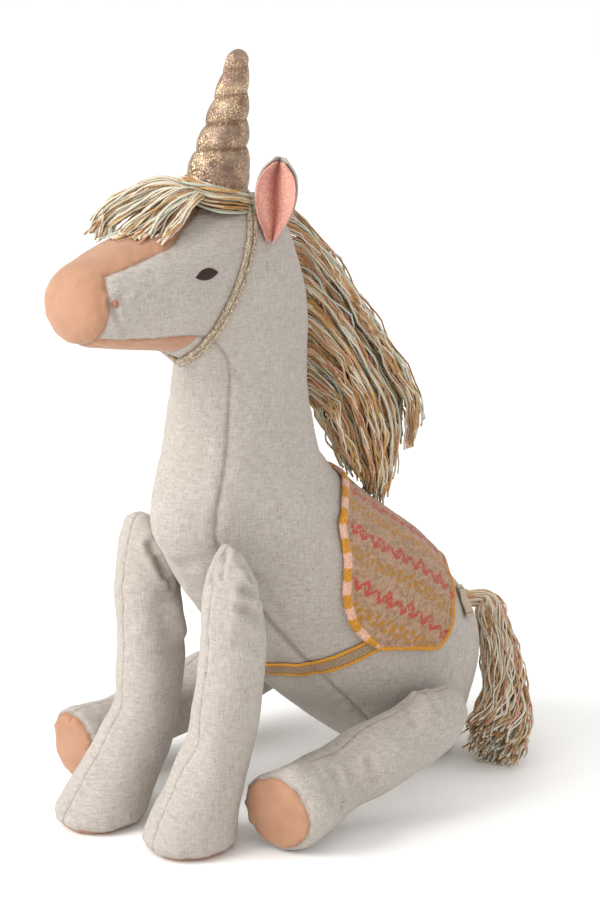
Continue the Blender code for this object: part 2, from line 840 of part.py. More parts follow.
def blanket_rim(lift):
    """The points round the blanket's edge, moved out by the binding."""
    rows = blanket_rows()
    first, last = rows[0], rows[-1]
    end = BLANKET_COLUMNS
    walk = [(row, 0) for row in rows]
    walk += [(last, column) for column in range(1, end)]
    walk += [(row, end) for row in reversed(rows)]
    walk += [(first, column) for column in range(end - 1, 0, -1)]
    points = [blanket_point(row, column, lift) for row, column in walk]
    above = [blanket_point(row, column, lift + 1) for row, column in walk]
    rim = []
    for index, (row, column) in enumerate(walk):
        point = points[index]
        inner_row = min(max(row, first + 1), last - 1)
        inner_column = min(max(column, 1), end - 1)
        inner = blanket_point(inner_row, inner_column, lift)
        along = points[(index + 1) % len(points)] - points[index - 1]
        outward = along.cross(above[index] - point).normalized()
        if outward.dot(point - inner) < 0:
            outward.negate()
        rim.append(point + outward * (BINDING_RADIUS + BINDING_GAP))
    return rim


def build_label():
    """The small blank tab at the blanket's rear edge."""
    height, angle = LABEL_PLACE
    centre, normal = above_skin(height, angle, BLANKET_CLEARANCE + 0.5)
    up = (Vector((0, 0, 1)) - normal * normal.z).normalized()
    across = up.cross(normal)
    turn = Matrix((across, up, normal)).transposed()
    work = bmesh.new()
    bmesh.ops.create_cube(work, size=1)
    for vertex in work.verts:
        size = Vector(LABEL_SIZE) * MM
        scaled = Vector([value * length for value, length in zip(vertex.co, size)])
        vertex.co = turn @ scaled + centre * MM
    mesh = bpy.data.meshes.new("blanket_label")
    work.to_mesh(mesh)
    work.free()
    add_object("blanket_label", mesh, LABEL)


def build_blanket():
    blanket_layer("saddle_blanket", KNIT_LIFT, KNIT_THICKNESS, KNIT)
    blanket_layer("blanket_lining", LINING_LIFT, LINING_THICKNESS, COTTON)
    rim = blanket_rim(BLANKET_CLEARANCE + BINDING_RADIUS)
    add_tube("blanket_binding", rim, BINDING_RADIUS, BINDING, True, 0)
    build_label()


def ends_of(rings):
    """The middles of the first and the last ring."""
    return [sum(ring, Vector()) / len(ring) for ring in (rings[0], rings[-1])]


def build_yarn():
    mane = []
    for z, x, inner, outer, half in MANE_ROWS:
        mane.append(level_ring(x, (inner + outer) / 2, z, half, (outer - inner) / 2))
    add_loft("mane_yarn", mane, *ends_of(mane), YARN, MANE_PIVOT)
    forelock = []
    for y, x, z, half_width, half_height in FORELOCK_ROWS:
        ring = level_ring(0, 0, 0, half_width, half_height)
        forelock.append([Vector((x + point.x, y, z + point.y)) for point in ring])
    add_loft("forelock_yarn", forelock, *ends_of(forelock), YARN, FORELOCK_PIVOT)
    tail = path_rings(TAIL_ROWS)
    add_loft("tail_yarn", tail, *ends_of(tail), YARN, TAIL_PIVOT)
    binding = path_rings(TAIL_BINDING_ROWS, 12)
    add_loft("tail_binding", binding, *ends_of(binding), COTTON, TAIL_PIVOT)
    build_mane_tape()


def build_mane_tape():
    """The tape along the crest of the neck that the mane is sewn to."""
    rows = smooth_rows(TORSO_ROWS[-MANE_TAPE_ROWS - 1 : -1], 2)
    lift = Vector((0, TOUCH_GAP + 1.6, 0))
    points = []
    for row in rows:
        for part in (1, 0, -1):
            points.append(body_point(row, 180 + part * MANE_TAPE_HALF_ANGLE) + lift)
    add_shell("mane_tape", points, grid_faces(len(rows), 3), 1.0, COTTON)


def build_body():
    skin = BodySkin()
    skin.panel("body_side_left", LINEN)
    skin.panel("body_side_right", LINEN)
    skin.panel("chest_belly_gusset", LINEN)
    skin.panel("head_side_left", LINEN)
    skin.panel("head_side_right", LINEN)
    skin.panel("jaw_gusset", VELVET)
    skin.panel("muzzle_and_blaze", VELVET)
    body_stuffing(skin)


def main():
    clear_scene()
    build_body()
    build_face()
    build_halter()
    build_horn()
    build_ear("ear_left", 1)
    build_ear("ear_right", -1)
    build_legs()
    build_blanket()
    build_girth()
    build_yarn()


PLUSH = make_collection("plush_unicorn")
main()
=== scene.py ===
"""Looks of the plush unicorn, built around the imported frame."""

import math
import random

import bmesh
import bpy
import numpy as np
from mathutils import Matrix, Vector, noise
from mathutils.bvhtree import BVHTree


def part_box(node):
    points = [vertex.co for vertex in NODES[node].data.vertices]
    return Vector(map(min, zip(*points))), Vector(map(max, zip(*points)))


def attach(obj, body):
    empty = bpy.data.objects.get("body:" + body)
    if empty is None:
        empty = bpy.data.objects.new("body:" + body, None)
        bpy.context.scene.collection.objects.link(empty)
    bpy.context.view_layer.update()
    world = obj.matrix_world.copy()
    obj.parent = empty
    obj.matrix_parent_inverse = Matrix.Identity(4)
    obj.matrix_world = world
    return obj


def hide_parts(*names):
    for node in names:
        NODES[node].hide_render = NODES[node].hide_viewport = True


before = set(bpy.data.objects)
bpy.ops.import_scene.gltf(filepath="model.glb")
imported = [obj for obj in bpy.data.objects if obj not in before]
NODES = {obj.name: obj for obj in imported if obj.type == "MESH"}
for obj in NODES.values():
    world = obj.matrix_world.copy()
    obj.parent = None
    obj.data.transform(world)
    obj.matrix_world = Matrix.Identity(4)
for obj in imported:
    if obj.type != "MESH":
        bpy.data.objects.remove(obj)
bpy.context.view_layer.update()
MM = 0.001
random.seed(11)

# Skins, in metres: how far the cloth lies outside its filling, the size of a
# cell of the cloth that is simulated, the furthest that a point may move, and
# the simulation's air pressure and length
SKIN_GAP = 2.3 * MM
BODY_CELL = 3.3 * MM
LEG_CELL = 3.1 * MM
PUFF_LIMIT = 1.8 * MM
PUFF_PRESSURE = 4
PUFF_FRAMES = 20
SEAM_WIDTH = 0.65 * MM
SEAM_DEPTH = 0.7 * MM
SEAM_SHADE_WIDTH = 0.42 * MM
# Where the blaze starts to narrow towards the horn and how high it begins, in
# millimetres, and how much wider it is between the two
BLAZE_TAPER_START = 168
BLAZE_LOW = 298
BLAZE_WIDENING = 2.5 * MM

# Threads of the linen to a metre, and how far a flake of the glitter may lean
THREADS = 1500
FLAKE_TILT = 0.75

# Horn, in millimetres, and the turns of the thread round it
HORN_BASE = Vector((0, -130.5, 325))
HORN_TIP = Vector((0, -114, 396))
HORN_RADIUS = 15.6
HORN_TIP_RADIUS = 4.8
HORN_COILS = 5.6
HORN_GROOVE = 0.2
HORN_PHASE = 0.04
THREAD_RADIUS = 0.45

# Ears, in millimetres
EAR_BASE = Vector((27.5, -116.5, 305.5))
EAR_TIP = Vector((28.5, -111.5, 346))
EAR_FACING = Vector((0.62, -0.76, 0.1))
EAR_HALF_WIDTHS = [1.6, 4.4, 7.4, 9.3, 10, 9.6, 7.6, 2.4]
EAR_CUP = 4.2

# Halter, in millimetres: where the cords cross the throat and the poll, how far
# they bow towards the muzzle in between, and how thick and how far apart they are
HALTER_THROAT = Vector((0, -150, 247))
HALTER_POLL = Vector((0, -112, 325))
HALTER_BOW = -11
CORD_RADIUS = 1.5
CORD_OFFSET = 1.45
CORD_STEPS = 150

# Girth ribbon and saddle blanket: heights in millimetres and angles in
# degrees round the body, 0 at the chest and 180 at the spine
GIRTH_LOW = 76
GIRTH_HIGH = 88
GIRTH_TOP_ANGLE = 76
BLANKET_FRONT = [(172, 180), (171, 155), (167, 130), (157, 109), (139, 93), (119, 80), (101, 74), (88, 77)]
BLANKET_REAR = [(112, 180), (112, 168), (112, 155), (110, 142), (106, 132), (99, 123), (89, 113), (80, 101)]
BLANKET_LIFT = 2.6 * MM
LABEL_SHIFT = Vector((0, 4, -3))
LABEL_LENGTH = 18 * MM
LABEL_WIDTH = 9 * MM
KNIT_THICKNESS = 1.5 * MM
BINDING_SIDES = 12
BINDING_BLOCK = 7.5 * MM
BINDING_STEP = 0.8
BINDING_RIB = 1.3
MOTIF_SPACING = 9
STITCH = 1.35 * MM

# Yarn, in millimetres: level slices of the mane (z, x, inner y, outer y, half
# thickness) and slices across the tail's run (x, y, z, radius)
YARN_RADIUS = 0.52
YARN_SIDES = 6
MANE_ROWS = [
    (312, 4, -88, -82, 3),
    (300, 6, -82.5, -70, 6),
    (285, 8, -79, -59, 7.5),
    (265, 9, -76.5, -45, 8.5),
    (243, 10, -76, -29, 9.5),
    (220, 11, -76, -14, 10),
    (203, 12, -73, -4, 10),
    (188, 13, -65, -4, 9.5),
    (174, 14, -58, -10, 8),
    (158, 15, -50, -20, 6),
]
TAIL_ROWS = [
    (1, 38, 74, 4.2),
    (7, 49, 73.5, 5.5),
    (12, 50.5, 68.5, 8),
    (18, 48.5, 57.5, 9.5),
    (27, 45, 46, 11),
    (37, 38, 34, 13),
    (46, 29, 24.5, 15.5),
    (52, 20, 17, 18),
    (56, 10, 13, 19),
]


def linear(red, green, blue):
    """A colour given in the usual 0 to 255 scale, as the shader takes it."""
    return tuple((value / 255) ** 2.2 for value in (red, green, blue))


def between(first, second, share):
    """The values a share of the way from the first ones to the second."""
    return [a + (b - a) * share for a, b in zip(first, second)]


# Materials


class Paint:
    """A material under construction: its node tree and a few shorthands."""

    def __init__(self, name, roughness=0.9, sheen=0.0, metallic=0.0):
        self.material = bpy.data.materials.new(name)
        self.material.use_nodes = True
        self.tree = self.material.node_tree
        self.shader = self.tree.nodes["Principled BSDF"]
        self.shader.inputs["Roughness"].default_value = roughness
        self.shader.inputs["Metallic"].default_value = metallic
        self.shader.inputs["Specular IOR Level"].default_value = 0.25
        if sheen:
            self.shader.inputs["Sheen Weight"].default_value = sheen
            self.shader.inputs["Sheen Roughness"].default_value = 0.5
        self.place = self.tree.nodes.new("ShaderNodeTexCoord").outputs["Object"]

    def node(self, kind, **values):
        made = self.tree.nodes.new(kind)
        for key, value in values.items():
            setattr(made, key, value)
        return made

    def link(self, output, socket):
        self.tree.links.new(output, socket)

    def stretched(self, scale):
        mapping = self.node("ShaderNodeMapping")
        mapping.inputs["Scale"].default_value = scale
        self.link(self.place, mapping.inputs["Vector"])
        return mapping.outputs["Vector"]

    def noise(self, scale, detail=2.0, stretch=(1, 1, 1)):
        made = self.node("ShaderNodeTexNoise")
        made.inputs["Scale"].default_value = scale
        made.inputs["Detail"].default_value = detail
        self.link(self.stretched(stretch), made.inputs["Vector"])
        return made.outputs["Fac"]

    def voronoi(self, scale, output="Distance"):
        made = self.node("ShaderNodeTexVoronoi")
        made.inputs["Scale"].default_value = scale
        self.link(self.place, made.inputs["Vector"])
        return made.outputs[output]

    def attribute(self, name):
        return self.node("ShaderNodeAttribute", attribute_name=name)

    def ramp(self, value, low, high):
        made = self.node("ShaderNodeMapRange")
        made.inputs["From Min"].default_value = low
        made.inputs["From Max"].default_value = high
        self.link(value, made.inputs["Value"])
        return made.outputs["Result"]

    def math(self, operation, first, second):
        made = self.node("ShaderNodeMath", operation=operation)
        for socket, value in zip(made.inputs, (first, second)):
            if isinstance(value, (int, float)):
                socket.default_value = value
            else:
                self.link(value, socket)
        return made.outputs[0]

    def mix(self, share, first, second, blend="MIX"):
        made = self.node("ShaderNodeMix", data_type="RGBA", blend_type=blend)
        sockets = (made.inputs[0], made.inputs[6], made.inputs[7])
        for socket, value in zip(sockets, (share, first, second)):
            if isinstance(value, (int, float)):
                socket.default_value = value
            elif isinstance(value, tuple):
                socket.default_value = (*value, 1)
            else:
                self.link(value, socket)
        return made.outputs[2]

    def over(self, base, mask, strength, colour):
        """The base colour with another laid over it where a mask is light."""
        return self.mix(self.math("MULTIPLY", mask, strength), base, linear(*colour))

    def shade(self):
        """The painted shade that each point of the mesh carries: darkest on the seams and deep in the
        horn's groove.
        """
        return self.attribute("shade").outputs["Fac"]

    def color(self, value):
        self.link(value, self.shader.inputs["Base Color"])

    def bump(self, height, distance, strength=1.0):
        made = self.node("ShaderNodeBump")
        made.inputs["Distance"].default_value = distance
        made.inputs["Strength"].default_value = strength
        self.link(height, made.inputs["Height"])
        self.link(made.outputs["Normal"], self.shader.inputs["Normal"])


def weave(paint):
    """Threads that run up and across, uneven as hand-spun flax."""
    upright = paint.noise(THREADS, 2, (1, 1, 0.12))
    level = paint.noise(THREADS, 2, (0.15, 0.15, 1))
    return paint.math("ADD", upright, level)


def make_linen():
    paint = Paint("linen", roughness=0.95, sheen=0.08)
    cloth = weave(paint)
    tone = paint.mix(paint.ramp(cloth, 0.7, 1.3), linear(159, 150, 142), linear(187, 179, 171))
    tone = paint.over(tone, paint.ramp(paint.noise(26, 3), 0.35, 0.7), 0.22, (157, 148, 137))
    flecks = paint.ramp(paint.noise(620, 1), 0.71, 0.76)
    tone = paint.over(tone, flecks, 0.5, (124, 104, 86))
    paint.color(paint.over(tone, paint.shade(), 0.6, (84, 72, 60)))
    paint.bump(cloth, 0.0004, 0.6)
    return paint.material


def make_velvet():
    paint = Paint("velvet", roughness=0.85, sheen=0.2)
    pile = paint.noise(1400, 2)
    patches = paint.ramp(paint.noise(70, 3), 0.3, 0.7)
    tone = paint.mix(patches, linear(162, 118, 91), linear(176, 133, 105))
    tone = paint.over(tone, paint.ramp(pile, 0.4, 0.7), 0.2, (186, 148, 124))
    paint.color(paint.over(tone, paint.shade(), 0.7, (124, 78, 54)))
    paint.bump(pile, 0.0005, 0.5)
    return paint.material


def make_glitter():
    """Foil-printed cloth: small flakes, each tilted its own way, some painted bright pale gold, partly the
    foil's gold and partly painted glints.
    """
    paint = Paint("glitter", roughness=0.36, metallic=0.6)
    flake = paint.voronoi(2300, "Color")
    split = paint.node("ShaderNodeSeparateColor")
    paint.link(flake, split.inputs[0])
    patches = paint.ramp(paint.noise(160, 3), 0.35, 0.65)
    base = paint.mix(patches, linear(124, 100, 86), linear(168, 144, 124))
    base = paint.over(base, paint.ramp(split.outputs[1], 0.35, 0.0), 0.6, (92, 72, 60))
    # Pale gold painted on some flakes in patches: partly the foil's own gold, partly painted glints
    foil_and_glint_patches = paint.ramp(paint.noise(110, 2), 0.42, 0.6)
    gold_and_painted_glints = paint.math("MULTIPLY", paint.ramp(split.outputs[0], 0.72, 0.86), foil_and_glint_patches)
    base = paint.mix(gold_and_painted_glints, base, linear(244, 214, 160))
    paint.color(paint.over(base, paint.shade(), 0.6, (96, 66, 50)))
    tilt = paint.node("ShaderNodeVectorMath", operation="MULTIPLY_ADD")
    paint.link(flake, tilt.inputs[0])
    tilt.inputs[1].default_value = (FLAKE_TILT,) * 3
    tilt.inputs[2].default_value = (-FLAKE_TILT / 2,) * 3
    total = paint.node("ShaderNodeVectorMath", operation="ADD")
    paint.link(paint.node("ShaderNodeNewGeometry").outputs["Normal"], total.inputs[0])
    paint.link(tilt.outputs[0], total.inputs[1])
    unit = paint.node("ShaderNodeVectorMath", operation="NORMALIZE")
    paint.link(total.outputs[0], unit.inputs[0])
    paint.link(unit.outputs[0], paint.shader.inputs["Normal"])
    return paint.material


def make_yarn():
    paint = Paint("cotton_yarn", roughness=0.95, sheen=0.2)
    tint = paint.attribute("tint").outputs["Color"]
    fibre = paint.noise(1300, 2)
    paint.color(paint.over(tint, paint.ramp(fibre, 0.35, 0.6), 0.2, (216, 206, 186)))
    paint.bump(fibre, 0.0006, 0.6)
    return paint.material


def make_knit():
    paint = Paint("jacquard_knit", roughness=1.0, sheen=0.2)
    tint = paint.attribute("tint").outputs["Color"]
    tone = paint.over(tint, paint.ramp(paint.noise(950, 2), 0.38, 0.62), 0.3, (124, 94, 72))
    paint.color(paint.over(tone, paint.ramp(paint.voronoi(1100), 0.45, 0.1), 0.2, (206, 180, 156)))
    paint.bump(paint.noise(1000, 2), 0.0008, 0.8)
    return paint.material


def make_metal_cord():
    paint = Paint("metal_cord", roughness=0.45, metallic=0.4)
    glint = paint.ramp(paint.noise(1500, 2), 0.52, 0.68)
    twist = paint.ramp(paint.noise(700, 1), 0.4, 0.6)
    tone = paint.mix(twist, linear(132, 116, 98), linear(172, 158, 138))
    paint.color(paint.mix(glint, tone, linear(226, 212, 184)))
    paint.bump(paint.noise(1500, 1), 0.0006, 0.8)
    return paint.material


def make_tinted(name, roughness=0.9, grain=1200, sheen=0.1):
    """A cloth whose colour is the mesh's own tint, with a fine grain."""
    paint = Paint(name, roughness=roughness, sheen=sheen)
    tint = paint.attribute("tint").outputs["Color"]
    thread = paint.noise(grain, 2)
    tone = paint.mix(paint.ramp(thread, 0.3, 0.7), tint, linear(255, 255, 255), "SOFT_LIGHT")
    paint.color(tone)
    paint.bump(thread, 0.0005, 0.7)
    return paint.material


LINEN = make_linen()
VELVET = make_velvet()
GLITTER = make_glitter()
YARN = make_yarn()
KNIT = make_knit()
CORD = make_metal_cord()
CLOTH = make_tinted("dyed_cloth")
BINDING = make_tinted("knit_binding", 1.0, 900, 0.2)
RIBBON = make_tinted("ribbon", 0.75, 1400, 0.1)
THREAD = make_tinted("embroidery", 0.6, 1600, 0.1)


# Meshes


def place(name, points, faces, material, body, tints=None, shades=None):
    """A mesh piece in metres that rides on a CAD body."""
    mesh = bpy.data.meshes.new(name)
    mesh.from_pydata([tuple(point) for point in points], [], faces)
    mesh.materials.append(material)
    mesh.shade_smooth()
    if tints is not None:
        layer = mesh.attributes.new("tint", "FLOAT_COLOR", "POINT")
        colours = np.ones((len(points), 4), np.float32)
        colours[:, :3] = tints
        layer.data.foreach_set("color", colours.ravel())
    if shades is not None:
        layer = mesh.attributes.new("shade", "FLOAT", "POINT")
        layer.data.foreach_set("value", np.asarray(shades, np.float32))
    piece = bpy.data.objects.new(name, mesh)
    bpy.context.scene.collection.objects.link(piece)
    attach(piece, body)
    return piece


def settled(piece):
    """The piece's mesh with its modifiers applied, in their place."""
    graph = bpy.context.evaluated_depsgraph_get()
    mesh = bpy.data.meshes.new_from_object(piece.evaluated_get(graph))
    piece.modifiers.clear()
    piece.data = mesh


def vectors(mesh, kind="co"):
    """A row for each of a mesh's points: its place, or its normal."""
    flat = np.empty(len(mesh.vertices) * 3, np.float32)
    mesh.vertices.foreach_get(kind, flat)
    return flat.reshape(-1, 3).astype(float)


def write_coordinates(mesh, points):
    mesh.vertices.foreach_set("co", np.asarray(points, np.float32).ravel())
    mesh.update()


def tree_of(mesh):
    work = bmesh.new()
    work.from_mesh(mesh)
    tree = BVHTree.FromBMesh(work)
    work.free()
    return tree


def puff(piece):
    """Lets a little air pressure round the cloth, no point moving beyond a limit."""
    rest = vectors(piece.data)
    cloth = piece.modifiers.new("Cloth", "CLOTH")
    cloth.settings.use_pressure = True
    cloth.settings.uniform_pressure_force = PUFF_PRESSURE
    cloth.settings.effector_weights.gravity = 0
    cloth.settings.shrink_min = -0.02
    cloth.settings.bending_stiffness = 0.3
    cloth.point_cache.frame_start = 1
    cloth.point_cache.frame_end = PUFF_FRAMES
    for step in range(1, PUFF_FRAMES + 1):
        bpy.context.scene.frame_set(step)
    graph = bpy.context.evaluated_depsgraph_get()
    moved = vectors(piece.evaluated_get(graph).data) - rest
    length = np.linalg.norm(moved, axis=1, keepdims=True)
    moved *= np.minimum(1, PUFF_LIMIT / np.maximum(length, 1e-9))
    piece.modifiers.remove(cloth)
    bpy.context.scene.frame_set(1)
    write_coordinates(piece.data, rest + moved)


def stuffed_skin(filling, cell, rounds):
    """A closed, evenly divided cloth surface just outside a CAD filling."""
    mesh = NODES[filling].data.copy()
    piece = bpy.data.objects.new("skin_of_" + filling, mesh)
    bpy.context.scene.collection.objects.link(piece)
    remesh = piece.modifiers.new("Remesh", "REMESH")
    remesh.mode = "VOXEL"
    remesh.voxel_size = cell
    smooth = piece.modifiers.new("Smooth", "SMOOTH")
    smooth.factor = 0.5
    smooth.iterations = rounds
    swell = piece.modifiers.new("Displace", "DISPLACE")
    swell.mid_level = 0
    swell.strength = SKIN_GAP
    settled(piece)
    puff(piece)
    divide = piece.modifiers.new("Subdivision", "SUBSURF")
    divide.levels = 2
    divide.render_levels = 2
    settled(piece)
    return piece


def noise_at(points, size, seed):
    """Smooth noise at each point, size being the width of its bumps."""
    shift = Vector((seed * 13.7, seed * 5.1, seed * 9.3))
    return np.array([noise.noise(Vector(point) / size + shift) for point in points])


def segment_distance(points, start, end):
    """How far each point is from the line between two others."""
    start = np.array(start)
    along = np.array(end) - start
    share = np.clip((points - start) @ along / (along @ along), 0, 1)
    return np.linalg.norm(points - start - share[:, None] * along, axis=1)


def folds_depth(points, folds):
    """How deep the soft folds are: each runs between two points in millimetres."""
    depth = np.zeros(len(points))
    for start, end, width, deep in folds:
        away = segment_distance(points / MM, start, end) / width
        depth += deep * MM * np.exp(-away ** 2)
        depth -= 0.35 * deep * MM * np.exp(-(away - 1.9) ** 2)
    return depth


def panel_gaps(points, panels, hidden_seams):
    """How far each point's nearest visible seam is, and its reach to each panel."""
    reach = []
    for panel in panels:
        tree = tree_of(NODES[panel].data)
        reach.append([tree.find_nearest(point)[3] for point in points])
    reach = np.array(reach).T
    if "muzzle_and_blaze" in panels:
        blaze = panels.index("muzzle_and_blaze")
        behind = points[:, 1] / MM + BLAZE_TAPER_START
        above = points[:, 2] / MM - BLAZE_LOW
        reach[:, blaze] += np.clip(behind * 0.5, 0, 12) * MM
        reach[:, blaze] -= BLAZE_WIDENING * np.clip(above / 6, 0, 1) * np.clip(-behind / 6, 0, 1)
    seen = {}
    for index, panel in enumerate(panels):
        key = hidden_seams.get(panel, panel)
        seen[key] = np.minimum(seen.get(key, 1.0), reach[:, index])
    order = np.sort(np.array(list(seen.values())).T, axis=1)
    return (order[:, 1] - order[:, 0]) / 2, reach


def follow_seams(points, faces, reach):
    """Moves the points where two panels meet onto the line between them, and
    gives each face's panel."""
    owner = [int(np.argmin(reach[list(face)].mean(axis=0))) for face in faces]
    touching = {}
    neighbours = {}
    for face, panel in zip(faces, owner):
        for index, vertex in enumerate(face):
            touching.setdefault(vertex, set()).add(panel)
            beside = neighbours.setdefault(vertex, set())
            beside.add(face[index - 1])
            beside.add(face[(index + 1) % len(face)])
    moved = points.copy()
    for vertex, panels in touching.items():
        if len(panels) != 2:
            continue
        one, other = sorted(panels)
        here = reach[vertex, one] - reach[vertex, other]
        best = None
        for near in neighbours[vertex]:
            there = reach[near, one] - reach[near, other]
            if here * there < 0:
                share = here / (here - there)
                if share < 0.65 and (best is None or share < best[0]):
                    best = (share, near)
        if best:
            moved[vertex] = points[vertex] + (points[best[1]] - points[vertex]) * best[0]
    return moved, owner


def split_skin(skin, panels, groups, body, folds, extra_seam, hidden_seams):
    """Cuts a skin into the pieces named in groups, with a groove at each seam."""
    points = vectors(skin.data)
    outward = vectors(skin.data, "normal")
    faces = [tuple(face.vertices) for face in skin.data.polygons]
    gap, reach = panel_gaps(points, panels, hidden_seams)
    if extra_seam is not None:
        gap = np.minimum(gap, extra_seam(points, outward))
    moved, owner = follow_seams(points, faces, reach)
    near = np.exp(-(gap / SEAM_WIDTH) ** 2)
    pucker = 0.7 + 0.5 * noise_at(points, 4 * MM, 3)
    beside = np.exp(-((gap - 2.6 * MM) / (1.6 * MM)) ** 2)
    depth = near * SEAM_DEPTH * pucker - 0.3 * MM * beside * pucker
    depth += folds_depth(points, folds)
    depth -= 0.9 * MM * noise_at(points, 34 * MM, 1) + 0.35 * MM * noise_at(points, 11 * MM, 2)
    depth -= 0.5 * MM * noise_at(points, 5 * MM, 5) * np.exp(-(gap / (5 * MM)) ** 2)
    moved = moved - outward * depth[:, None]
    moved[:, 2] = np.maximum(moved[:, 2], 0.3 * MM)
    # Painted shade, darkest on each seam line, where the groove lies
    shades = np.exp(-(gap / SEAM_SHADE_WIDTH) ** 2) * 0.75
    pieces = {}
    for name, (members, material) in groups.items():
        chosen = [face for face, panel in zip(faces, owner) if panels[panel] in members]
        used = sorted({vertex for face in chosen for vertex in face})
        index = {vertex: place_in for place_in, vertex in enumerate(used)}
        local = [[index[vertex] for vertex in face] for face in chosen]
        pieces[name] = place(name, moved[used], local, material, body, shades=shades[used])
        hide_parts(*members)
    write_coordinates(skin.data, moved)
    surface = tree_of(skin.data)
    bpy.data.objects.remove(skin)
    return pieces, surface, moved


# Body

BODY_PANELS = [
    "body_side_left",
    "body_side_right",
    "chest_belly_gusset",
    "head_side_left",
    "head_side_right",
    "jaw_gusset",
    "muzzle_and_blaze",
]
# The seam between the head and the neck lies under the halter band
HIDDEN_SEAMS = {"head_side_left": "body_side_left", "head_side_right": "body_side_right"}
# Soft folds, in millimetres: start, end, width and depth, a bulge where the
# depth is negative
FACE_FOLDS = [
    ((23.4, -211, 289), (22.2, -203, 273), 1.7, 1.2),
    ((22.6, -211, 291), (24.2, -209, 283), 1.5, 1.1),
    ((24, -208, 292), (26, -202, 294), 1.8, 0.7),
    ((27.4, -120.5, 305.6), (30.7, -123.2, 294.7), 1.1, 0.9),
]
BODY_FOLDS = [
    ((29, -130, 137), (30, -111, 108), 2.4, 1.3),
    ((30, -122, 132), (33, -104, 116), 3, 0.9),
    ((50, -22, 66), (38, -44, 46), 4, 1.4),
]
for start, end, width, deep in FACE_FOLDS:
    BODY_FOLDS.append((start, end, width, deep))
    BODY_FOLDS.append(((-start[0], *start[1:]), (-end[0], *end[1:]), width, deep))


def build_body():
    skin = stuffed_skin("body_stuffing", BODY_CELL, 4)
    linen = BODY_PANELS[:5]
    groups = {
        "body_linen": (linen, LINEN),
        "jaw_velvet": (["jaw_gusset"], VELVET),
        "muzzle_velvet": (["muzzle_and_blaze"], VELVET),
    }
    pieces, surface, points = split_skin(skin, BODY_PANELS, groups, "torso", BODY_FOLDS, None, HIDDEN_SEAMS)
    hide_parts("body_stuffing")
    return surface, points


SKIN, SKIN_POINTS = build_body()


def section(height):
    """The middle and the half sizes of the trunk at a height in millimetres."""
    near = SKIN_POINTS[np.abs(SKIN_POINTS[:, 2] - height * MM) < 1.5 * MM]
    low, high = near[:, 1].min(), near[:, 1].max()
    return Vector((0, (low + high) / 2, height * MM)), near[:, 0].max(), (high - low) / 2


SECTIONS = {height: section(height) for height in range(70, 182)}


def trunk_point(height, angle, lift):
    """A point a lift above the trunk's skin, and the outward direction there."""
    low = math.floor(height)
    share = height - low
    first, second = SECTIONS[low], SECTIONS[low + 1]
    centre = first[0].lerp(second[0], share)
    half_width = first[1] + (second[1] - first[1]) * share
    half_depth = first[2] + (second[2] - first[2]) * share
    turn = math.radians(angle)
    ray = Vector((half_width * math.sin(turn), -half_depth * math.cos(turn), 0)).normalized()
    hit, normal, _, _ = SKIN.ray_cast(centre, ray)
    if normal.dot(ray) < 0:
        normal = -normal
    return hit + normal * lift, normal


def on_skin(point, lift):
    """The skin's nearest point to a point in millimetres, raised a lift."""
    hit, normal, _, _ = SKIN.find_nearest(Vector(point) * MM)
    return hit + normal * lift, normal


# Legs


def leg_seam(points, along, facing):
    """A seam down the middle of a leg: along is the leg's run, facing its front."""
    middles = {}
    for point in points:
        middles.setdefault(round(point[along] / (4 * MM)), []).append(point[0])
    keys = sorted(middles)
    centres = [(min(middles[key]) + max(middles[key])) / 2 for key in keys]

    def gap(places, outward):
        centre = np.interp(places[:, along] / (4 * MM), keys, centres)
        away = np.abs(places[:, 0] - centre)
        front = outward[:, facing[0]] * facing[1] > 0.15
        return np.where(front, away, 1.0)

    return gap


FORELEG_FOLDS = {
    "left": [
        ((41, -160, 161), (41.5, -167, 146), 1.4, 1.8),
        ((46, -161, 160), (48, -165, 149), 1.3, 1.6),
        ((50, -158, 157), (55.4, -154.3, 147), 1.5, 2.0),
        ((57, -159, 143.5), (61, -146, 138), 2.4, 2.8),
        ((57.5, -160, 134), (61, -148, 127), 2.6, 2.6),
        ((61, -152, 133), (61, -147, 131), 3.8, -2.4),
        ((56, -161, 118), (60, -150, 112), 3.4, 1.2),
        ((36, -172, 60), (56, -158, 52), 10, 2.2),
    ],
    "right": [
        ((-25.4, -154.3, 143), (-20, -149, 127), 2.1, 2.4),
        ((-22, -151, 135), (-19.6, -145, 120.7), 1.9, 1.4),
        ((-19.4, -143, 108), (-19.6, -139, 94), 5, -2.6),
        ((-39, -164, 112), (-31, -163.5, 103), 4, 0.8),
        ((-40, -170, 58), (-22, -166, 50), 10, 2.2),
    ],
}
HINDLEG_FOLDS = {
    "left": [
        ((76.3, -117, 41.4), (82, -115, 23), 2.6, 2.2),
        ((80, -97, 43), (83, -95, 32), 2.4, 2.0),
        ((78, -107, 41), (82, -106, 28), 2.4, 0.9),
        ((63.9, -48.6, 62.4), (79.6, -51, 57), 2.2, 1.8),
        ((63.7, -58.7, 60.6), (79.5, -66, 55.5), 2.6, 1.4),
        ((70, -106, 45), (84, -103, 24), 11, 3.4),
        ((68, -136, 40), (83, -131, 26), 8, -3),
        ((68, -52, 64), (78, -54, 58), 8, -3),
    ],
    "right": [
        ((-60, -80, 50), (-56, -84, 30), 3.5, 1.4),
        ((-72, -106, 45), (-84, -104, 24), 11, 2.8),
        ((-52, -106, 45), (-46, -104, 24), 11, 2.8),
        ((-60, -120, 44), (-56, -124, 26), 3.5, 1.2),
        ((-72, -134, 40), (-83, -130, 26), 7, -1.7),
    ],
}


def build_leg(leg, folds, along, facing):
    skin = stuffed_skin(leg + "_stuffing", LEG_CELL, 3)
    points = vectors(skin.data)
    panels = [leg + "_cover", leg + "_sole"]
    groups = {
        leg + "_linen": ([panels[0]], LINEN),
        leg + "_velvet": ([panels[1]], VELVET),
    }
    seam = leg_seam(points, along, facing)
    pieces, _, _ = split_skin(skin, panels, groups, leg, folds, seam, {})
    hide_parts(leg + "_stuffing")


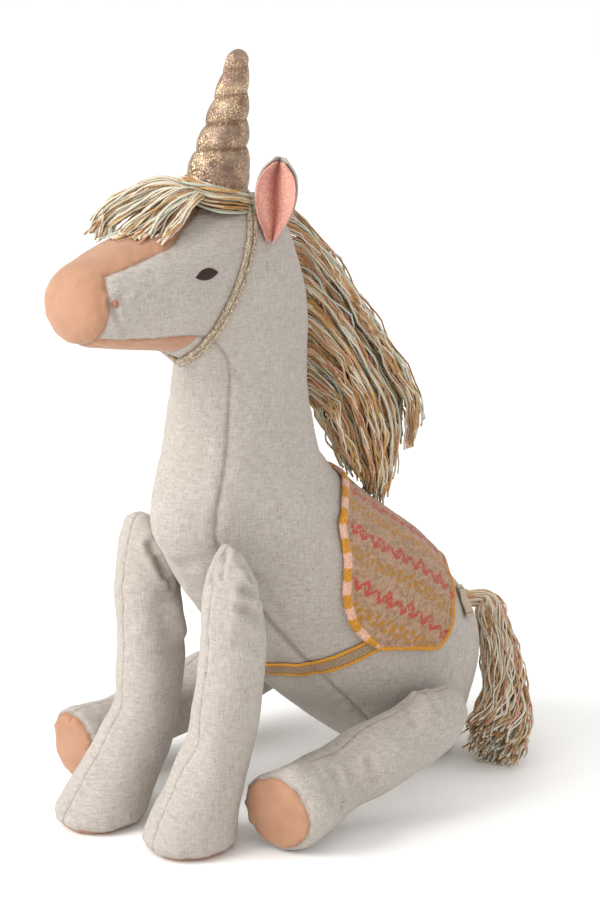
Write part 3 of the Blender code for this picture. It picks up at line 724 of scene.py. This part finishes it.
for side in ("left", "right"):
    build_leg("foreleg_" + side, FORELEG_FOLDS[side], 2, (1, -1))
    build_leg("hindleg_" + side, HINDLEG_FOLDS[side], 1, (2, 1))


# Grids and tubes


def grid_faces(rows, columns, closed=False):
    """Faces between points that lie row by row, each row a ring if closed."""
    faces = []
    for row in range(rows - 1):
        for column in range(columns if closed else columns - 1):
            after = (column + 1) % columns
            low = row * columns
            high = low + columns
            faces.append([low + column, low + after, high + after, high + column])
    return faces


def catmull(values, steps):
    """Points on a smooth curve through values, steps to each gap."""
    values = [Vector(value) for value in values]
    padded = [2 * values[0] - values[1]] + values + [2 * values[-1] - values[-2]]
    smooth = []
    for index in range(len(values) - 1):
        first, second, third, fourth = padded[index:index + 4]
        for step in range(steps):
            share = step / steps
            smooth.append(
                (second * 2 + (third - first) * share
                 + (first * 2 - second * 5 + third * 4 - fourth) * share ** 2
                 + (second * 3 - first - third * 3 + fourth) * share ** 3) / 2
            )
    return smooth + [values[-1]]


def tube_mesh(paths, radii, sides, closed=False, flat=None):
    """Points and faces of tubes along paths; flat gives each point's wide direction."""
    points = []
    faces = []
    for path_index, path in enumerate(paths):
        start = len(points)
        count = len(path)
        for index, centre in enumerate(path):
            before = path[(index - 1) % count if closed else max(index - 1, 0)]
            after = path[(index + 1) % count if closed else min(index + 1, count - 1)]
            along = (after - before).normalized()
            guide = flat[index][0] if flat else Vector((0.31, 0.57, 0.76))
            across = (guide - along * guide.dot(along)).normalized()
            other = along.cross(across)
            radius = radii[path_index]
            wide, thick = (flat[index][1], flat[index][2]) if flat else (radius, radius)
            for corner in range(sides):
                angle = 2 * math.pi * corner / sides
                points.append(centre + across * wide * math.cos(angle) + other * thick * math.sin(angle))
        rows = count + 1 if closed else count
        for row in range(rows - 1):
            low = start + row * sides
            high = start + ((row + 1) % count) * sides
            for corner in range(sides):
                after = (corner + 1) % sides
                faces.append([low + corner, low + after, high + after, high + corner])
        if not closed:
            faces.append([start + corner for corner in range(sides)][::-1])
            last = start + (count - 1) * sides
            faces.append([last + corner for corner in range(sides)])
    return points, faces


# Horn


def horn_coil(share):
    """How many turns the wrapping thread has made at a share of the horn's height."""
    return HORN_COILS * share + HORN_PHASE


def horn_surface(share, turn, lift=0.0):
    """The horn's skin at a share of its height and of a turn, and its groove's depth."""
    axis = (HORN_TIP - HORN_BASE).normalized()
    across = Vector((1, 0, 0))
    other = axis.cross(across)
    narrowing = max(0.0, share - 0.2) / 0.8
    taper = HORN_RADIUS + (HORN_TIP_RADIUS - HORN_RADIUS) * narrowing ** 0.9
    coil = horn_coil(share) - turn
    puffed = abs(math.sin(math.pi * coil)) ** 0.55
    drawn = min(1, max(0.0, (share - 0.14) / 0.18))
    groove = (1 - puffed) * drawn
    gathers = 0.03 * groove * math.cos(2 * math.pi * turn * 23 + coil * 5)
    closing = math.sqrt(max(0.0, 1 - max(0.0, (share - 0.93) / 0.07) ** 2))
    radius = taper * (1 - HORN_GROOVE * groove + gathers) * closing + lift
    angle = 2 * math.pi * turn
    offset = (across * math.cos(angle) + other * math.sin(angle)) * radius
    seated = max(0, 1 - share / 0.25)
    offset.z += seated * (offset.y * 0.32 - offset.x ** 2 / 60)
    return HORN_BASE.lerp(HORN_TIP, share) + offset, groove


HORN_ROWS = 230
HORN_COLUMNS = 110
THREAD_STEPS = 260


def build_horn():
    points = []
    shades = []
    for row in range(HORN_ROWS):
        for column in range(HORN_COLUMNS):
            point, groove = horn_surface(row / (HORN_ROWS - 1), column / HORN_COLUMNS)
            points.append(point * MM)
            # Painted shade, darkest deep in the groove
            shades.append(groove ** 2)
    faces = grid_faces(HORN_ROWS, HORN_COLUMNS, True)
    horn = place("horn_glitter", points, faces, GLITTER, "torso", shades=shades)
    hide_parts("horn_cover", "horn_stuffing")
    path = []
    for step in range(THREAD_STEPS):
        share = 0.2 + 0.7 * step / (THREAD_STEPS - 1)
        path.append(horn_surface(share, horn_coil(share) % 1, -0.1)[0] * MM)
    points, faces = tube_mesh([path], [THREAD_RADIUS * MM], 6)
    tints = [linear(132, 104, 82)] * len(points)
    thread = place("horn_wrap", points, faces, THREAD, "torso", tints=tints)
    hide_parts("horn_thread")


build_horn()


# Ears


EAR_COLUMNS = 33
EAR_DART = 1.9


def ear_fold(part, share):
    """How far from the middle fold a point across and up the ear is, squared."""
    return (part - 0.1 + 0.3 * share) ** 2


def ear_surface(side, lift, size):
    """One layer of an ear, and how near the middle fold each of its points is."""
    up = EAR_TIP - EAR_BASE
    rise = up.normalized()
    facing = EAR_FACING - rise * EAR_FACING.dot(rise)
    facing.normalize()
    across = rise.cross(facing)
    widths = catmull([(width, 0, 0) for width in EAR_HALF_WIDTHS], 6)
    points = []
    near = []
    for row, width in enumerate(widths):
        share = row / (len(widths) - 1)
        for column in range(EAR_COLUMNS):
            part = column / (EAR_COLUMNS - 1) * 2 - 1
            rounded = width.x * size * math.sin(part * math.pi / 2)
            point = EAR_BASE + up * (0.02 + share * size) + across * rounded
            cup = EAR_CUP * (abs(part) ** 1.6) * (1.15 - 0.35 * share)
            fold = EAR_DART * math.exp(-ear_fold(part, share) / 0.22 ** 2) * (0.45 + 0.55 * share)
            ripple = 0.5 * math.sin(part * 4 + share * 7) * (1 - abs(part))
            point += facing * (cup + lift - fold + ripple)
            points.append(Vector((point.x * side, point.y, point.z)) * MM)
            near.append(math.exp(-ear_fold(part, share) / 0.25 ** 2))
    faces = grid_faces(len(widths), EAR_COLUMNS)
    if side < 0:
        faces = [face[::-1] for face in faces]
    return points, faces, near


def thicken(piece, thickness, offset=0.0):
    solid = piece.modifiers.new("Solidify", "SOLIDIFY")
    solid.thickness = thickness
    solid.offset = offset
    solid.use_rim = True


# The ear lining's pink, and the darker painted shade in its middle fold
EAR_PINK = linear(186, 130, 116)
EAR_FOLD_SHADE = linear(120, 66, 56)


def build_ears():
    for name, side in (("left", 1), ("right", -1)):
        ear = "ear_" + name
        points, faces, near = ear_surface(side, 0, 1.0)
        back = place(ear + "_linen", points, faces, LINEN, ear, shades=[0] * len(near))
        thicken(back, 1.1 * MM)
        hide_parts(ear + "_back")
        points, faces, near = ear_surface(side, 1.6, 0.95)
        # The lining is painted darker towards its middle fold: painted shade in the fold
        tints = [between(EAR_PINK, EAR_FOLD_SHADE, share) for share in near]
        lining = place(ear + "_pink", points, faces, CLOTH, ear, tints=tints)
        thicken(lining, 0.8 * MM)
        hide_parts(ear + "_lining")


build_ears()


# Eyes, nostrils and halter


def node_middle(node):
    low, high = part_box(node)
    return (Vector(low) + Vector(high)) / 2 / MM


def skin_patch(name, node, outline, dome, colour, material, ahead_by=0):
    """A small raised patch with a closed outline of (ahead, up) in millimetres."""
    lift = 0.25 * MM
    centre, normal = on_skin(node_middle(node) - Vector((0, ahead_by, 0)), 0)
    ahead = Vector((0, -1, 0))
    ahead = (ahead - normal * ahead.dot(normal)).normalized()
    up = Vector((0, 0, 1))
    up = (up - normal * up.dot(normal) - ahead * up.dot(ahead)).normalized()
    points = []
    tints = []
    rings = 7
    for ring in range(rings):
        reach = 1 - ring / rings
        for forward, rise in outline:
            spot = centre + (ahead * forward + up * rise) * reach * MM
            spot, out = on_skin(spot / MM, 0)
            height = lift + dome * (1 - reach ** 2) * MM
            points.append(spot + out * (height if ring else -0.3 * MM))
            tints.append(colour)
    spot, out = on_skin(centre / MM, lift + dome * MM)
    points.append(spot)
    tints.append(colour)
    count = len(outline)
    faces = grid_faces(rings, count, True)
    last = (rings - 1) * count
    faces += [[last + index, last + (index + 1) % count, rings * count] for index in range(count)]
    patch = place(name, points, faces, material, "torso", tints=tints)
    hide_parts(node)


def almond(half_length, top, bottom, count=28):
    """An eye's outline, pointed at both ends, with its rear tip a little raised."""
    outline = []
    for index in range(count):
        angle = 2 * math.pi * index / count
        forward = math.cos(angle)
        height = math.sin(angle)
        scale = top if height > 0 else bottom
        rise = scale * math.copysign(abs(height) ** 1.9, height) - 0.3 * forward
        outline.append((forward * half_length, rise))
    return outline


def oval(half_length, half_height, count=16):
    angles = [2 * math.pi * index / count for index in range(count)]
    return [(half_length * math.cos(angle), half_height * math.sin(angle)) for angle in angles]


DARK_BROWN = linear(44, 27, 22)
DUSTY_PINK = linear(140, 92, 80)


def build_face():
    eye = almond(7.2, 3.6, 2.6)
    knot = oval(1.9, 2.3)
    for name in ("left", "right"):
        skin_patch("eye_thread_" + name, "eye_" + name, eye, 0.7, DARK_BROWN, THREAD)
        skin_patch("nostril_knot_" + name, "nostril_" + name, knot, 0.9, DUSTY_PINK, CLOTH, 2.2)


def build_halter():
    """Two cords side by side round the head, past the throat and the poll."""
    along = HALTER_POLL - HALTER_THROAT
    behind = Vector((0, along.z, -along.y)).normalized()
    middle = (HALTER_POLL + HALTER_THROAT) / 2
    paths = []
    for offset in (-CORD_OFFSET, CORD_OFFSET):
        path = []
        for step in range(CORD_STEPS):
            turn = 2 * math.pi * step / CORD_STEPS
            guide = middle - along / 2 * math.cos(turn)
            guide += behind * (HALTER_BOW * math.sqrt(abs(math.sin(turn))) + offset)
            guide.x = 33 * math.sin(turn)
            path.append(on_skin(guide, 1.1 * MM)[0])
        paths.append(path)
    points, faces = tube_mesh(paths, [CORD_RADIUS * MM] * 2, 8, True)
    band = place("halter_cords", points, faces, CORD, "torso")
    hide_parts("halter_band")


build_face()
build_halter()


# Saddle blanket and girth


def blanket_grid(across=84, along=20):
    """Rows from the left hem over the spine to the right hem, each front to rear."""
    front = catmull([(height, angle, 0) for height, angle in BLANKET_FRONT], along)
    rear = catmull([(height, angle, 0) for height, angle in BLANKET_REAR], along)
    last = len(front) - 1
    rows = []
    for row in range(-last, last + 1):
        line = []
        for column in range(across):
            spot = front[abs(row)].lerp(rear[abs(row)], column / (across - 1))
            angle = spot.y if row <= 0 else 360 - spot.y
            hem = abs(row) / last
            edge = max(hem ** 6, (column / (across - 1)) ** 8)
            loose = 1.2 * MM * edge * (0.8 + 0.6 * math.sin(row * 0.13) + 0.4 * math.sin(column * 0.21))
            line.append(trunk_point(spot.x, angle, BLANKET_LIFT + loose))
        rows.append(line)
    return rows


KNIT_GROUND = (linear(166, 136, 108), linear(180, 138, 118), linear(150, 120, 94), linear(180, 150, 124))
CORAL = linear(178, 70, 58)
MUSTARD = linear(172, 120, 44)


# One repeat of the coral chain and of the mustard row, a character a stitch
CORAL_CHAIN = (
    ".....#......",
    "....###.....",
    "#..##.##..##",
    "##.#.#.#.##.",
    ".####.####..",
    "..##...##...",
)
MUSTARD_ROW = (
    "##....##....",
    "##.##.##.##.",
    "...##....##.",
    "##.##.##.##.",
    "##....##....",
)


def knit_tint(stitch, row):
    """The yarn's colour: motifs in rows that run along the spine."""
    chain, step = divmod(abs(row), MOTIF_SPACING)
    art, tint = ((CORAL_CHAIN, CORAL), (MUSTARD_ROW, MUSTARD))[chain % 2]
    step -= 2
    if 0 <= step < len(art) and art[step][stitch % len(art[step])] == "#":
        return tint
    return KNIT_GROUND[random.choice((0, 0, 1, 2, 3))]


def build_blanket():
    rows = blanket_grid()
    spine = rows[len(rows) // 2]
    ridge = (spine[-1][0] - spine[0][0]).normalized()
    columns = len(spine)
    middle = len(rows) // 2
    away = np.zeros((len(rows), columns))
    for column in range(columns):
        for direction in (1, -1):
            total = 0.0
            for row in range(middle + direction, len(rows) if direction > 0 else -1, direction):
                step = rows[row][column][0] - rows[row - direction][column][0]
                step -= ridge * step.dot(ridge)
                total += step.length
                away[row, column] = total * direction
    points = []
    tints = []
    stitched = {}
    for row, line in enumerate(rows):
        for column, (point, normal) in enumerate(line):
            along = point.dot(ridge)
            key = (math.floor(along / STITCH), math.floor(away[row, column] / STITCH))
            if key not in stitched:
                stitched[key] = knit_tint(*key)
            wale = math.sin(away[row, column] / STITCH * 2 * math.pi)
            inward = min(min(row, len(rows) - 1 - row) * 0.9, column, columns - 1 - column)
            groove = math.exp(-((inward - 5) / 1.1) ** 2) * 0.7
            points.append(point + normal * (0.16 * wale - groove) * MM)
            tints.append(stitched[key])
    faces = grid_faces(len(rows), columns)
    blanket = place("blanket_knit", points, faces, KNIT, "torso", tints=tints)
    thicken(blanket, KNIT_THICKNESS, -1.0)
    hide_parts("saddle_blanket", "blanket_lining")
    border = [(0, column) for column in range(columns)]
    border += [(row, columns - 1) for row in range(1, len(rows))]
    border += [(len(rows) - 1, column) for column in range(columns - 2, -1, -1)]
    border += [(row, 0) for row in range(len(rows) - 2, 0, -1)]
    path = [rows[row][column][0] - rows[row][column][1] * 0.6 * MM for row, column in border]
    binding = build_binding(path, len(border) - len(rows) + 1)
    label = build_label()


def front_share(run, whole, start):
    """1 along the blanket's front edge and 0 elsewhere, fading over 8 mm."""
    ahead = min(run - start, whole - run)
    return min(1, max(0.0, ahead / (8 * MM)))


def build_binding(path, front_corner):
    """A knitted band folded over the rim, in blocks of mustard and pale pink
    along the front edge and narrower and plain round the rest."""
    smooth = path
    for _ in range(4):
        count = len(smooth)
        smooth = [(smooth[i - 1] + smooth[i] * 2 + smooth[(i + 1) % count]) / 4 for i in range(count)]
    lengths = [0.0]
    for first, second in zip(smooth, smooth[1:]):
        lengths.append(lengths[-1] + (second - first).length)
    whole = lengths[-1]
    front = lengths[front_corner]
    even = []
    count = int(whole / (BINDING_STEP * MM))
    marks = np.linspace(0, whole, count, endpoint=False)
    for axis in range(3):
        even.append(np.interp(marks, lengths, [point[axis] for point in smooth]))
    even = [Vector(point) for point in zip(*even)]
    flat = []
    for index, point in enumerate(even):
        normal = SKIN.find_nearest(point)[1]
        along = (even[(index + 1) % count] - even[index - 1]).normalized()
        wide = front_share(index / count * whole, whole, front)
        flat.append((along.cross(normal).normalized(), (1.3 + 1.2 * wide) * MM, (1.1 + 0.45 * wide) * MM))
    points, faces = tube_mesh([even], [0], BINDING_SIDES, True, flat)
    tints = []
    ribbed = []
    for index, point in enumerate(points):
        ring = index // BINDING_SIDES
        run = ring / count * whole
        light = math.floor(run / BINDING_BLOCK) % 2 and run > front
        tints.append(linear(194, 146, 124) if light else linear(170, 112, 40))
        rib = 1 + 0.06 * math.sin(ring * BINDING_STEP / BINDING_RIB * 2 * math.pi)
        ribbed.append(even[ring] + (point - even[ring]) * rib)
    binding = place("blanket_edge", ribbed, faces, BINDING, "torso", tints=tints)
    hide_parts("blanket_binding")
    return binding


def build_label():
    """The small blank tab at the blanket's rear edge."""
    centre, normal = on_skin(node_middle("blanket_label") + LABEL_SHIFT, 1.4 * MM)
    up = (Vector((0, 0.35, 1)) - normal * (normal.z + 0.35 * normal.y)).normalized()
    across = up.cross(normal)
    points = []
    tints = []
    rows, columns = 25, 13
    for row in range(rows):
        for column in range(columns):
            part = column / (columns - 1)
            rise = (row / (rows - 1) - 0.5) * LABEL_LENGTH
            reach = (part - 0.5) * LABEL_WIDTH
            curl = part ** 2 * 0.5 * MM + 0.3 * MM * math.sin(row * 0.4)
            spot, out = on_skin((centre + up * rise + across * reach) / MM, 1.6 * MM)
            points.append(spot + out * curl)
            line = row in (3, rows - 4)
            tints.append(linear(104, 86, 70) if line else linear(150, 132, 112))
    faces = grid_faces(rows, columns)
    label = place("blanket_tab", points, faces, RIBBON, "torso", tints=tints)
    thicken(label, 0.6 * MM)
    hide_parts("blanket_label")
    return label


GIRTH_STEPS = 150
GIRTH_COLUMNS = 17


def girth_tint(across, column, step):
    """Mustard edges, each with a stitched line inside it, and a striped middle."""
    away = abs(across)
    if 0.5 < away < 0.75 and step % 2:
        return linear(104, 60, 24)
    if 0.5 < away < 0.75 or away > 0.9:
        return linear(176, 116, 38)
    if away >= 0.75:
        return linear(182, 124, 48)
    return linear(146, 124, 100) if column % 2 else linear(112, 92, 74)


def build_girth():
    rows = []
    tints = []
    for step in range(GIRTH_STEPS):
        part = step / (GIRTH_STEPS - 1) * 2 - 1
        height = GIRTH_LOW + (GIRTH_HIGH + 1.5 - GIRTH_LOW) * abs(part) ** 2.6
        row = []
        for column in range(GIRTH_COLUMNS):
            across = column / (GIRTH_COLUMNS - 1) * 2 - 1
            raised = 0.25 * MM if abs(across) > 0.55 else 0
            lift = 1.0 * MM + raised
            row.append(trunk_point(height + across * 4, part * GIRTH_TOP_ANGLE, lift)[0])
            tints.append(girth_tint(across, column, step))
        rows.append(row)
    points = [point for row in rows for point in row]
    faces = grid_faces(GIRTH_STEPS, GIRTH_COLUMNS)
    ribbon = place("girth_band", points, faces, RIBBON, "torso", tints=tints)
    thicken(ribbon, 0.8 * MM)
    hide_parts("girth_ribbon")


build_blanket()
build_girth()


# Yarn

YARN_TINTS = [
    (linear(208, 198, 176), 8),
    (linear(196, 176, 144), 5),
    (linear(182, 138, 74), 5),
    (linear(168, 112, 42), 5),
    (linear(196, 138, 112), 3),
    (linear(172, 186, 172), 2),
    (linear(140, 96, 44), 2),
]
YARN_DECK = [tint for tint, share in YARN_TINTS for _ in range(share)]
PALE_DECK = YARN_DECK + [linear(216, 206, 186)] * 14


def wavy(path, strength, phases=None):
    """The path with slow waves, none at its root; phases are shared by a lock."""
    shared = phases or [random.uniform(0, 6.3) for _ in range(3)]
    own = [phase + random.uniform(-0.6, 0.6) for phase in shared]
    length = random.uniform(24, 34)
    short = random.uniform(9, 14)
    run = 0.0
    waved = []
    for index, point in enumerate(path):
        if index:
            run += (point - path[index - 1]).length
        grow = min(1, run / 25)
        swing = Vector((
            math.sin(run / length * 6.3 + own[0]),
            math.sin(run / length * 5.1 + own[1]),
            0.3 * math.sin(run / length * 6.9 + own[2]),
        )) * strength
        turn = run / short * 6.3
        kink = Vector((math.cos(turn + own[2]), math.sin(turn + own[0]), 0)) * 0.16
        waved.append(point + (swing + kink) * grow)
    return waved


def clear_of_floor(path):
    return [Vector((point.x, point.y, max(point.z, 0.9))) for point in path]


def bundle_mesh(paths, deck):
    """Strands as tubes, each of one colour drawn from a deck."""
    tints = []
    metres = []
    radii = []
    for path in paths:
        metres.append([point * MM for point in clear_of_floor(path)])
        radii.append(YARN_RADIUS * random.uniform(0.85, 1.15) * MM)
        tints += [random.choice(deck)] * (len(path) * YARN_SIDES)
    points, faces = tube_mesh(metres, radii, YARN_SIDES)
    return points, faces, tints


def build_bundle(name, node, body, paths, deck):
    points, faces, tints = bundle_mesh(paths, deck)
    bundle = place(name, points, faces, YARN, body, tints=tints)
    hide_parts(node)


def mane_slice(height):
    """The mane's x, inner y, outer y and half thickness at a height."""
    height = min(max(height, MANE_ROWS[-1][0]), MANE_ROWS[0][0])
    for above, below in zip(MANE_ROWS, MANE_ROWS[1:]):
        if below[0] <= height <= above[0]:
            return between(above, below, (above[0] - height) / (above[0] - below[0]))[1:]


CREST_LOW = 214
CREST_HIGH = 322
MANE_LOCKS = 36
LOCK_STRANDS = 12
MANE_STEPS = 26
# How high the mane's locks end, from the one along the neck to the outermost
MANE_ENDS = [177, 169, 160, 159, 170, 185, 197]


def crest_point(height, across, lift):
    """A point a lift off the back of the neck, in millimetres."""
    start = Vector((across, -20, height)) * MM
    hit, normal, _, _ = SKIN.ray_cast(start, Vector((0, -1, 0)))
    return (hit + normal * lift * MM) / MM


def mane_path(outer, side, drop):
    """A strand's run: outer is how far from the neck it hangs, side how far left."""
    reach = outer * (len(MANE_ENDS) - 1)
    low = min(int(reach), len(MANE_ENDS) - 2)
    first, second = MANE_ENDS[low:low + 2]
    end_height = first + (second - first) * (reach - low) + drop
    root_height = CREST_LOW + (CREST_HIGH - CREST_LOW) * outer
    root = crest_point(root_height, 0, 1.2)
    root.x += side * 1.5
    path = [root - Vector((0, 1, 0))]
    for index in range(1, MANE_STEPS):
        share = index / (MANE_STEPS - 1)
        height = root_height - (root_height - end_height) * share
        below = min(1, max(0.0, (height - CREST_LOW) / (CREST_HIGH - CREST_LOW)))
        depth = (outer - below) / max(1 - below, 0.02)
        if outer > 0.9:
            depth = max(depth, (outer - 0.9) * 10)
        depth = min(1, max(0.0, depth))
        x, inner, back, half = mane_slice(height)
        leaving = min(1, share * MANE_STEPS / 5)
        y = inner + 2 + (back - inner - 3) * depth
        if height > CREST_LOW:
            y = max(y, root.y)
        path.append(Vector((x * leaving + side * (1.5 + (half - 3) * leaving), y, height)))
    return path


def build_mane():
    paths = []
    for lock in range(MANE_LOCKS):
        outer = min(1, (lock + 0.5) / MANE_LOCKS + random.uniform(-0.03, 0.03))
        side = random.uniform(-1, 1)
        phases = [random.uniform(0, 6.3) for _ in range(3)]
        drop = random.uniform(-5, 5)
        for strand in range(LOCK_STRANDS):
            spread = 0.2 if strand > 3 else 0.5
            own_outer = min(1, max(0, outer + random.uniform(-0.05, 0.05)))
            own_side = min(1, max(-1, side + random.uniform(-spread, spread)))
            path = mane_path(own_outer, own_side, drop + random.uniform(-6, 4))
            loose = strand < 4 and random.random() < 0.7
            paths.append(wavy(path, 1.7 if loose else 1.0, None if loose else phases))
    build_bundle("mane_strands", "mane_yarn", "mane", paths, YARN_DECK)


def build_mane_tape():
    """The strip that the mane's roots are sewn to, along the crest."""
    points = []
    rows, columns = 60, 7
    for row in range(rows):
        height = CREST_LOW + (CREST_HIGH - CREST_LOW) * row / (rows - 1)
        for column in range(columns):
            across = (column / (columns - 1) * 2 - 1) * 3.2
            points.append(crest_point(height, across, 0.7) * MM)
    faces = grid_faces(rows, columns)
    # The tape carries a little painted shade all over
    tape = place("crest_tape", points, faces, LINEN, "torso", shades=[0.1] * len(points))
    thicken(tape, 0.7 * MM)
    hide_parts("mane_tape")


# Locks of the forelock in millimetres: their run from the root to the tip, the
# half widths at the root and at the tip, and how many strands
FORELOCK_LOCKS = [
    ([(4, -149, 333), (-6, -158, 336), (-14, -172, 331), (-20, -182, 323), (-25, -194, 309)], 4, 5, 26),
    ([(6, -149, 333), (-2, -160, 335), (-9, -173, 331), (-16, -184, 321), (-20, -189, 309)], 4, 5, 26),
    ([(7, -149, 332), (2, -160, 334), (-5, -173, 328), (-12, -183, 318), (-15, -190, 308)], 4, 5, 24),
    ([(8, -149, 332), (6, -160, 332), (2, -171, 325), (-4, -181, 316), (-8, -188, 308)], 4, 5, 26),
    ([(9, -148, 331), (11, -158, 331), (9, -168, 325), (6, -177, 316), (6, -184, 307)], 3, 5, 26),
    ([(11, -147, 331), (15, -156, 329), (16, -164, 323), (16, -171, 317), (14, -178, 310)], 3, 4, 22),
    ([(0, -149, 333), (-12, -156, 334), (-20, -168, 327), (-26, -180, 317), (-29, -188, 309)], 4, 4, 20),
]
# The strands' sewn roots, which wrap the horn's base and don't lift
FORELOCK_ROOTS = (
    [(15, -121, 322), (18, -131, 325.5), (16, -142, 329), (8, -150, 332), (0, -154, 334)], 3, 4, 80
)


def run_frame(middle, index, last):
    """The directions beside and over a run at one of its points."""
    ahead = (middle[min(index + 1, last)] - middle[max(index - 1, 0)]).normalized()
    beside = ahead.cross(Vector((0, 0, 1))).normalized()
    return beside, beside.cross(ahead)


def lock_paths(run, root_width, tip_width, strands, thick=2.4):
    """A lock's strands, kept off the head's skin."""
    middle = catmull(run, 6)
    phases = [random.uniform(0, 6.3) for _ in range(3)]
    paths = []
    for _ in range(strands):
        across = random.uniform(-1, 1)
        rise = random.uniform(-1, 1)
        flare = random.uniform(-1, 1) * (tip_width - root_width + 2.5)
        last = int((len(middle) - 1) * random.uniform(0.8, 1.0))
        path = []
        for index in range(last + 1):
            share = index / (len(middle) - 1)
            width = root_width + (tip_width - root_width) * share
            depth = thick * (1 + 0.25 * math.sin(share * 3.1))
            beside = run_frame(middle, index, last)[0]
            point = middle[index] + beside * (across * width + flare * share ** 3)
            point.z += rise * depth
            skin, normal = on_skin(point, 0)
            clearance = (point - skin / MM).dot(normal)
            if clearance < 1.2:
                point += normal * (1.2 - clearance)
            path.append(point)
        loose = random.random() < 0.4
        paths.append(wavy(path, 1.3, None if loose else phases))
    return paths


def build_forelock():
    paths = []
    for lock in FORELOCK_LOCKS:
        paths += lock_paths(*lock)
    build_bundle("forelock_strands", "forelock_yarn", "forelock", paths, PALE_DECK)
    points, faces, tints = bundle_mesh(lock_paths(*FORELOCK_ROOTS, 4.6), YARN_DECK)
    place("forelock_roots", points, faces, YARN, "torso", tints=tints)


TAIL_STRANDS = 330
WHIPPING_START = Vector((0.3, 38.2, 74))
WHIPPING_END = Vector((2.2, 42, 74.2))


def build_tail():
    middle = catmull([row[:3] for row in TAIL_ROWS], 4)
    radii = [value.x for value in catmull([(row[3], 0, 0) for row in TAIL_ROWS], 4)]
    paths = []
    for _ in range(TAIL_STRANDS):
        angle = random.uniform(0, 2 * math.pi)
        reach = math.sqrt(random.random())
        last = len(middle) - 1 - random.choice((0, 0, 1, 1, 2, 3))
        path = []
        for index in range(last + 1):
            beside, over = run_frame(middle, index, len(middle) - 1)
            offset = beside * math.cos(angle) + over * math.sin(angle)
            path.append(middle[index] + offset * (radii[index] - 0.6) * reach)
        paths.append(wavy(path, 1.5))
    build_bundle("tail_strands", "tail_yarn", "tail", paths, PALE_DECK)


def build_whipping():
    """Five turns of thread round the tail's root."""
    path = []
    for step in range(90):
        turn = step / 90 * 5 * 2 * math.pi
        centre = WHIPPING_START.lerp(WHIPPING_END, step / 89)
        path.append((centre + Vector((math.cos(turn), 0, math.sin(turn))) * 4.9) * MM)
    points, faces = tube_mesh([path], [0.55 * MM], 6)
    tints = [linear(200, 160, 104)] * len(points)
    whipping = place("tail_whipping", points, faces, YARN, "tail", tints=tints)
    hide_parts("tail_binding")


build_mane_tape()
build_mane()
build_forelock()
build_tail()
build_whipping()


# Floor, light and camera


def build_stage():
    mesh = bpy.data.meshes.new("floor")
    size = 6.0
    corners = [(-size, -size, 0), (size, -size, 0), (size, size, 0), (-size, size, 0)]
    mesh.from_pydata(corners, [], [[0, 1, 2, 3]])
    floor = bpy.data.objects.new("floor", mesh)
    paint = Paint("pale_floor", roughness=0.9)
    paint.color(paint.mix(paint.noise(3, 2), linear(250, 249, 247), linear(253, 252, 250)))
    mesh.materials.append(paint.material)
    bpy.context.scene.collection.objects.link(floor)
    world = bpy.data.worlds.new("studio")
    world.use_nodes = True
    sky = world.node_tree.nodes["Background"]
    sky.inputs["Color"].default_value = (1, 1, 1, 1)
    sky.inputs["Strength"].default_value = 1.0
    bpy.context.scene.world = world


def add_light(name, position, target, size, power):
    light = bpy.data.lights.new(name, "AREA")
    light.size = size
    light.energy = power
    lamp = bpy.data.objects.new(name, light)
    lamp.location = position
    lamp.rotation_euler = (Vector(target) - Vector(position)).to_track_quat("-Z", "Y").to_euler()
    bpy.context.scene.collection.objects.link(lamp)


# The camera looks at the target from 1.6 m away, 50 degrees round from the
# front on the unicorn's left and 18 degrees above level
CAMERA_TARGET = Vector((-0.075, -0.013, 0.152))
CAMERA_DISTANCE = 1.6
CAMERA_AZIMUTH = 50
CAMERA_ELEVATION = 18
FRAME_HEIGHT = 0.495


def build_camera():
    azimuth = math.radians(CAMERA_AZIMUTH)
    rise = math.radians(CAMERA_ELEVATION)
    away = Vector((math.sin(azimuth) * math.cos(rise), -math.cos(azimuth) * math.cos(rise), math.sin(rise)))
    data = bpy.data.cameras.new("camera")
    data.sensor_fit = "VERTICAL"
    data.sensor_height = 36
    data.lens = 36 * CAMERA_DISTANCE / FRAME_HEIGHT
    camera = bpy.data.objects.new("camera", data)
    camera.location = CAMERA_TARGET + away * CAMERA_DISTANCE
    camera.rotation_euler = (-away).to_track_quat("-Z", "Y").to_euler()
    bpy.context.scene.collection.objects.link(camera)
    bpy.context.scene.camera = camera


build_stage()
add_light("key", (-0.5, -1.55, 1.15), (0, -0.1, 0.15), 1.1, 29)
add_light("fill", (1.3, -1.2, 0.9), (0, -0.1, 0.15), 1.5, 0.5)
add_light("back", (-1.0, 1.2, 1.4), (0, -0.1, 0.2), 1.2, 1)
build_camera()
bpy.context.scene.view_settings.view_transform = "Standard"
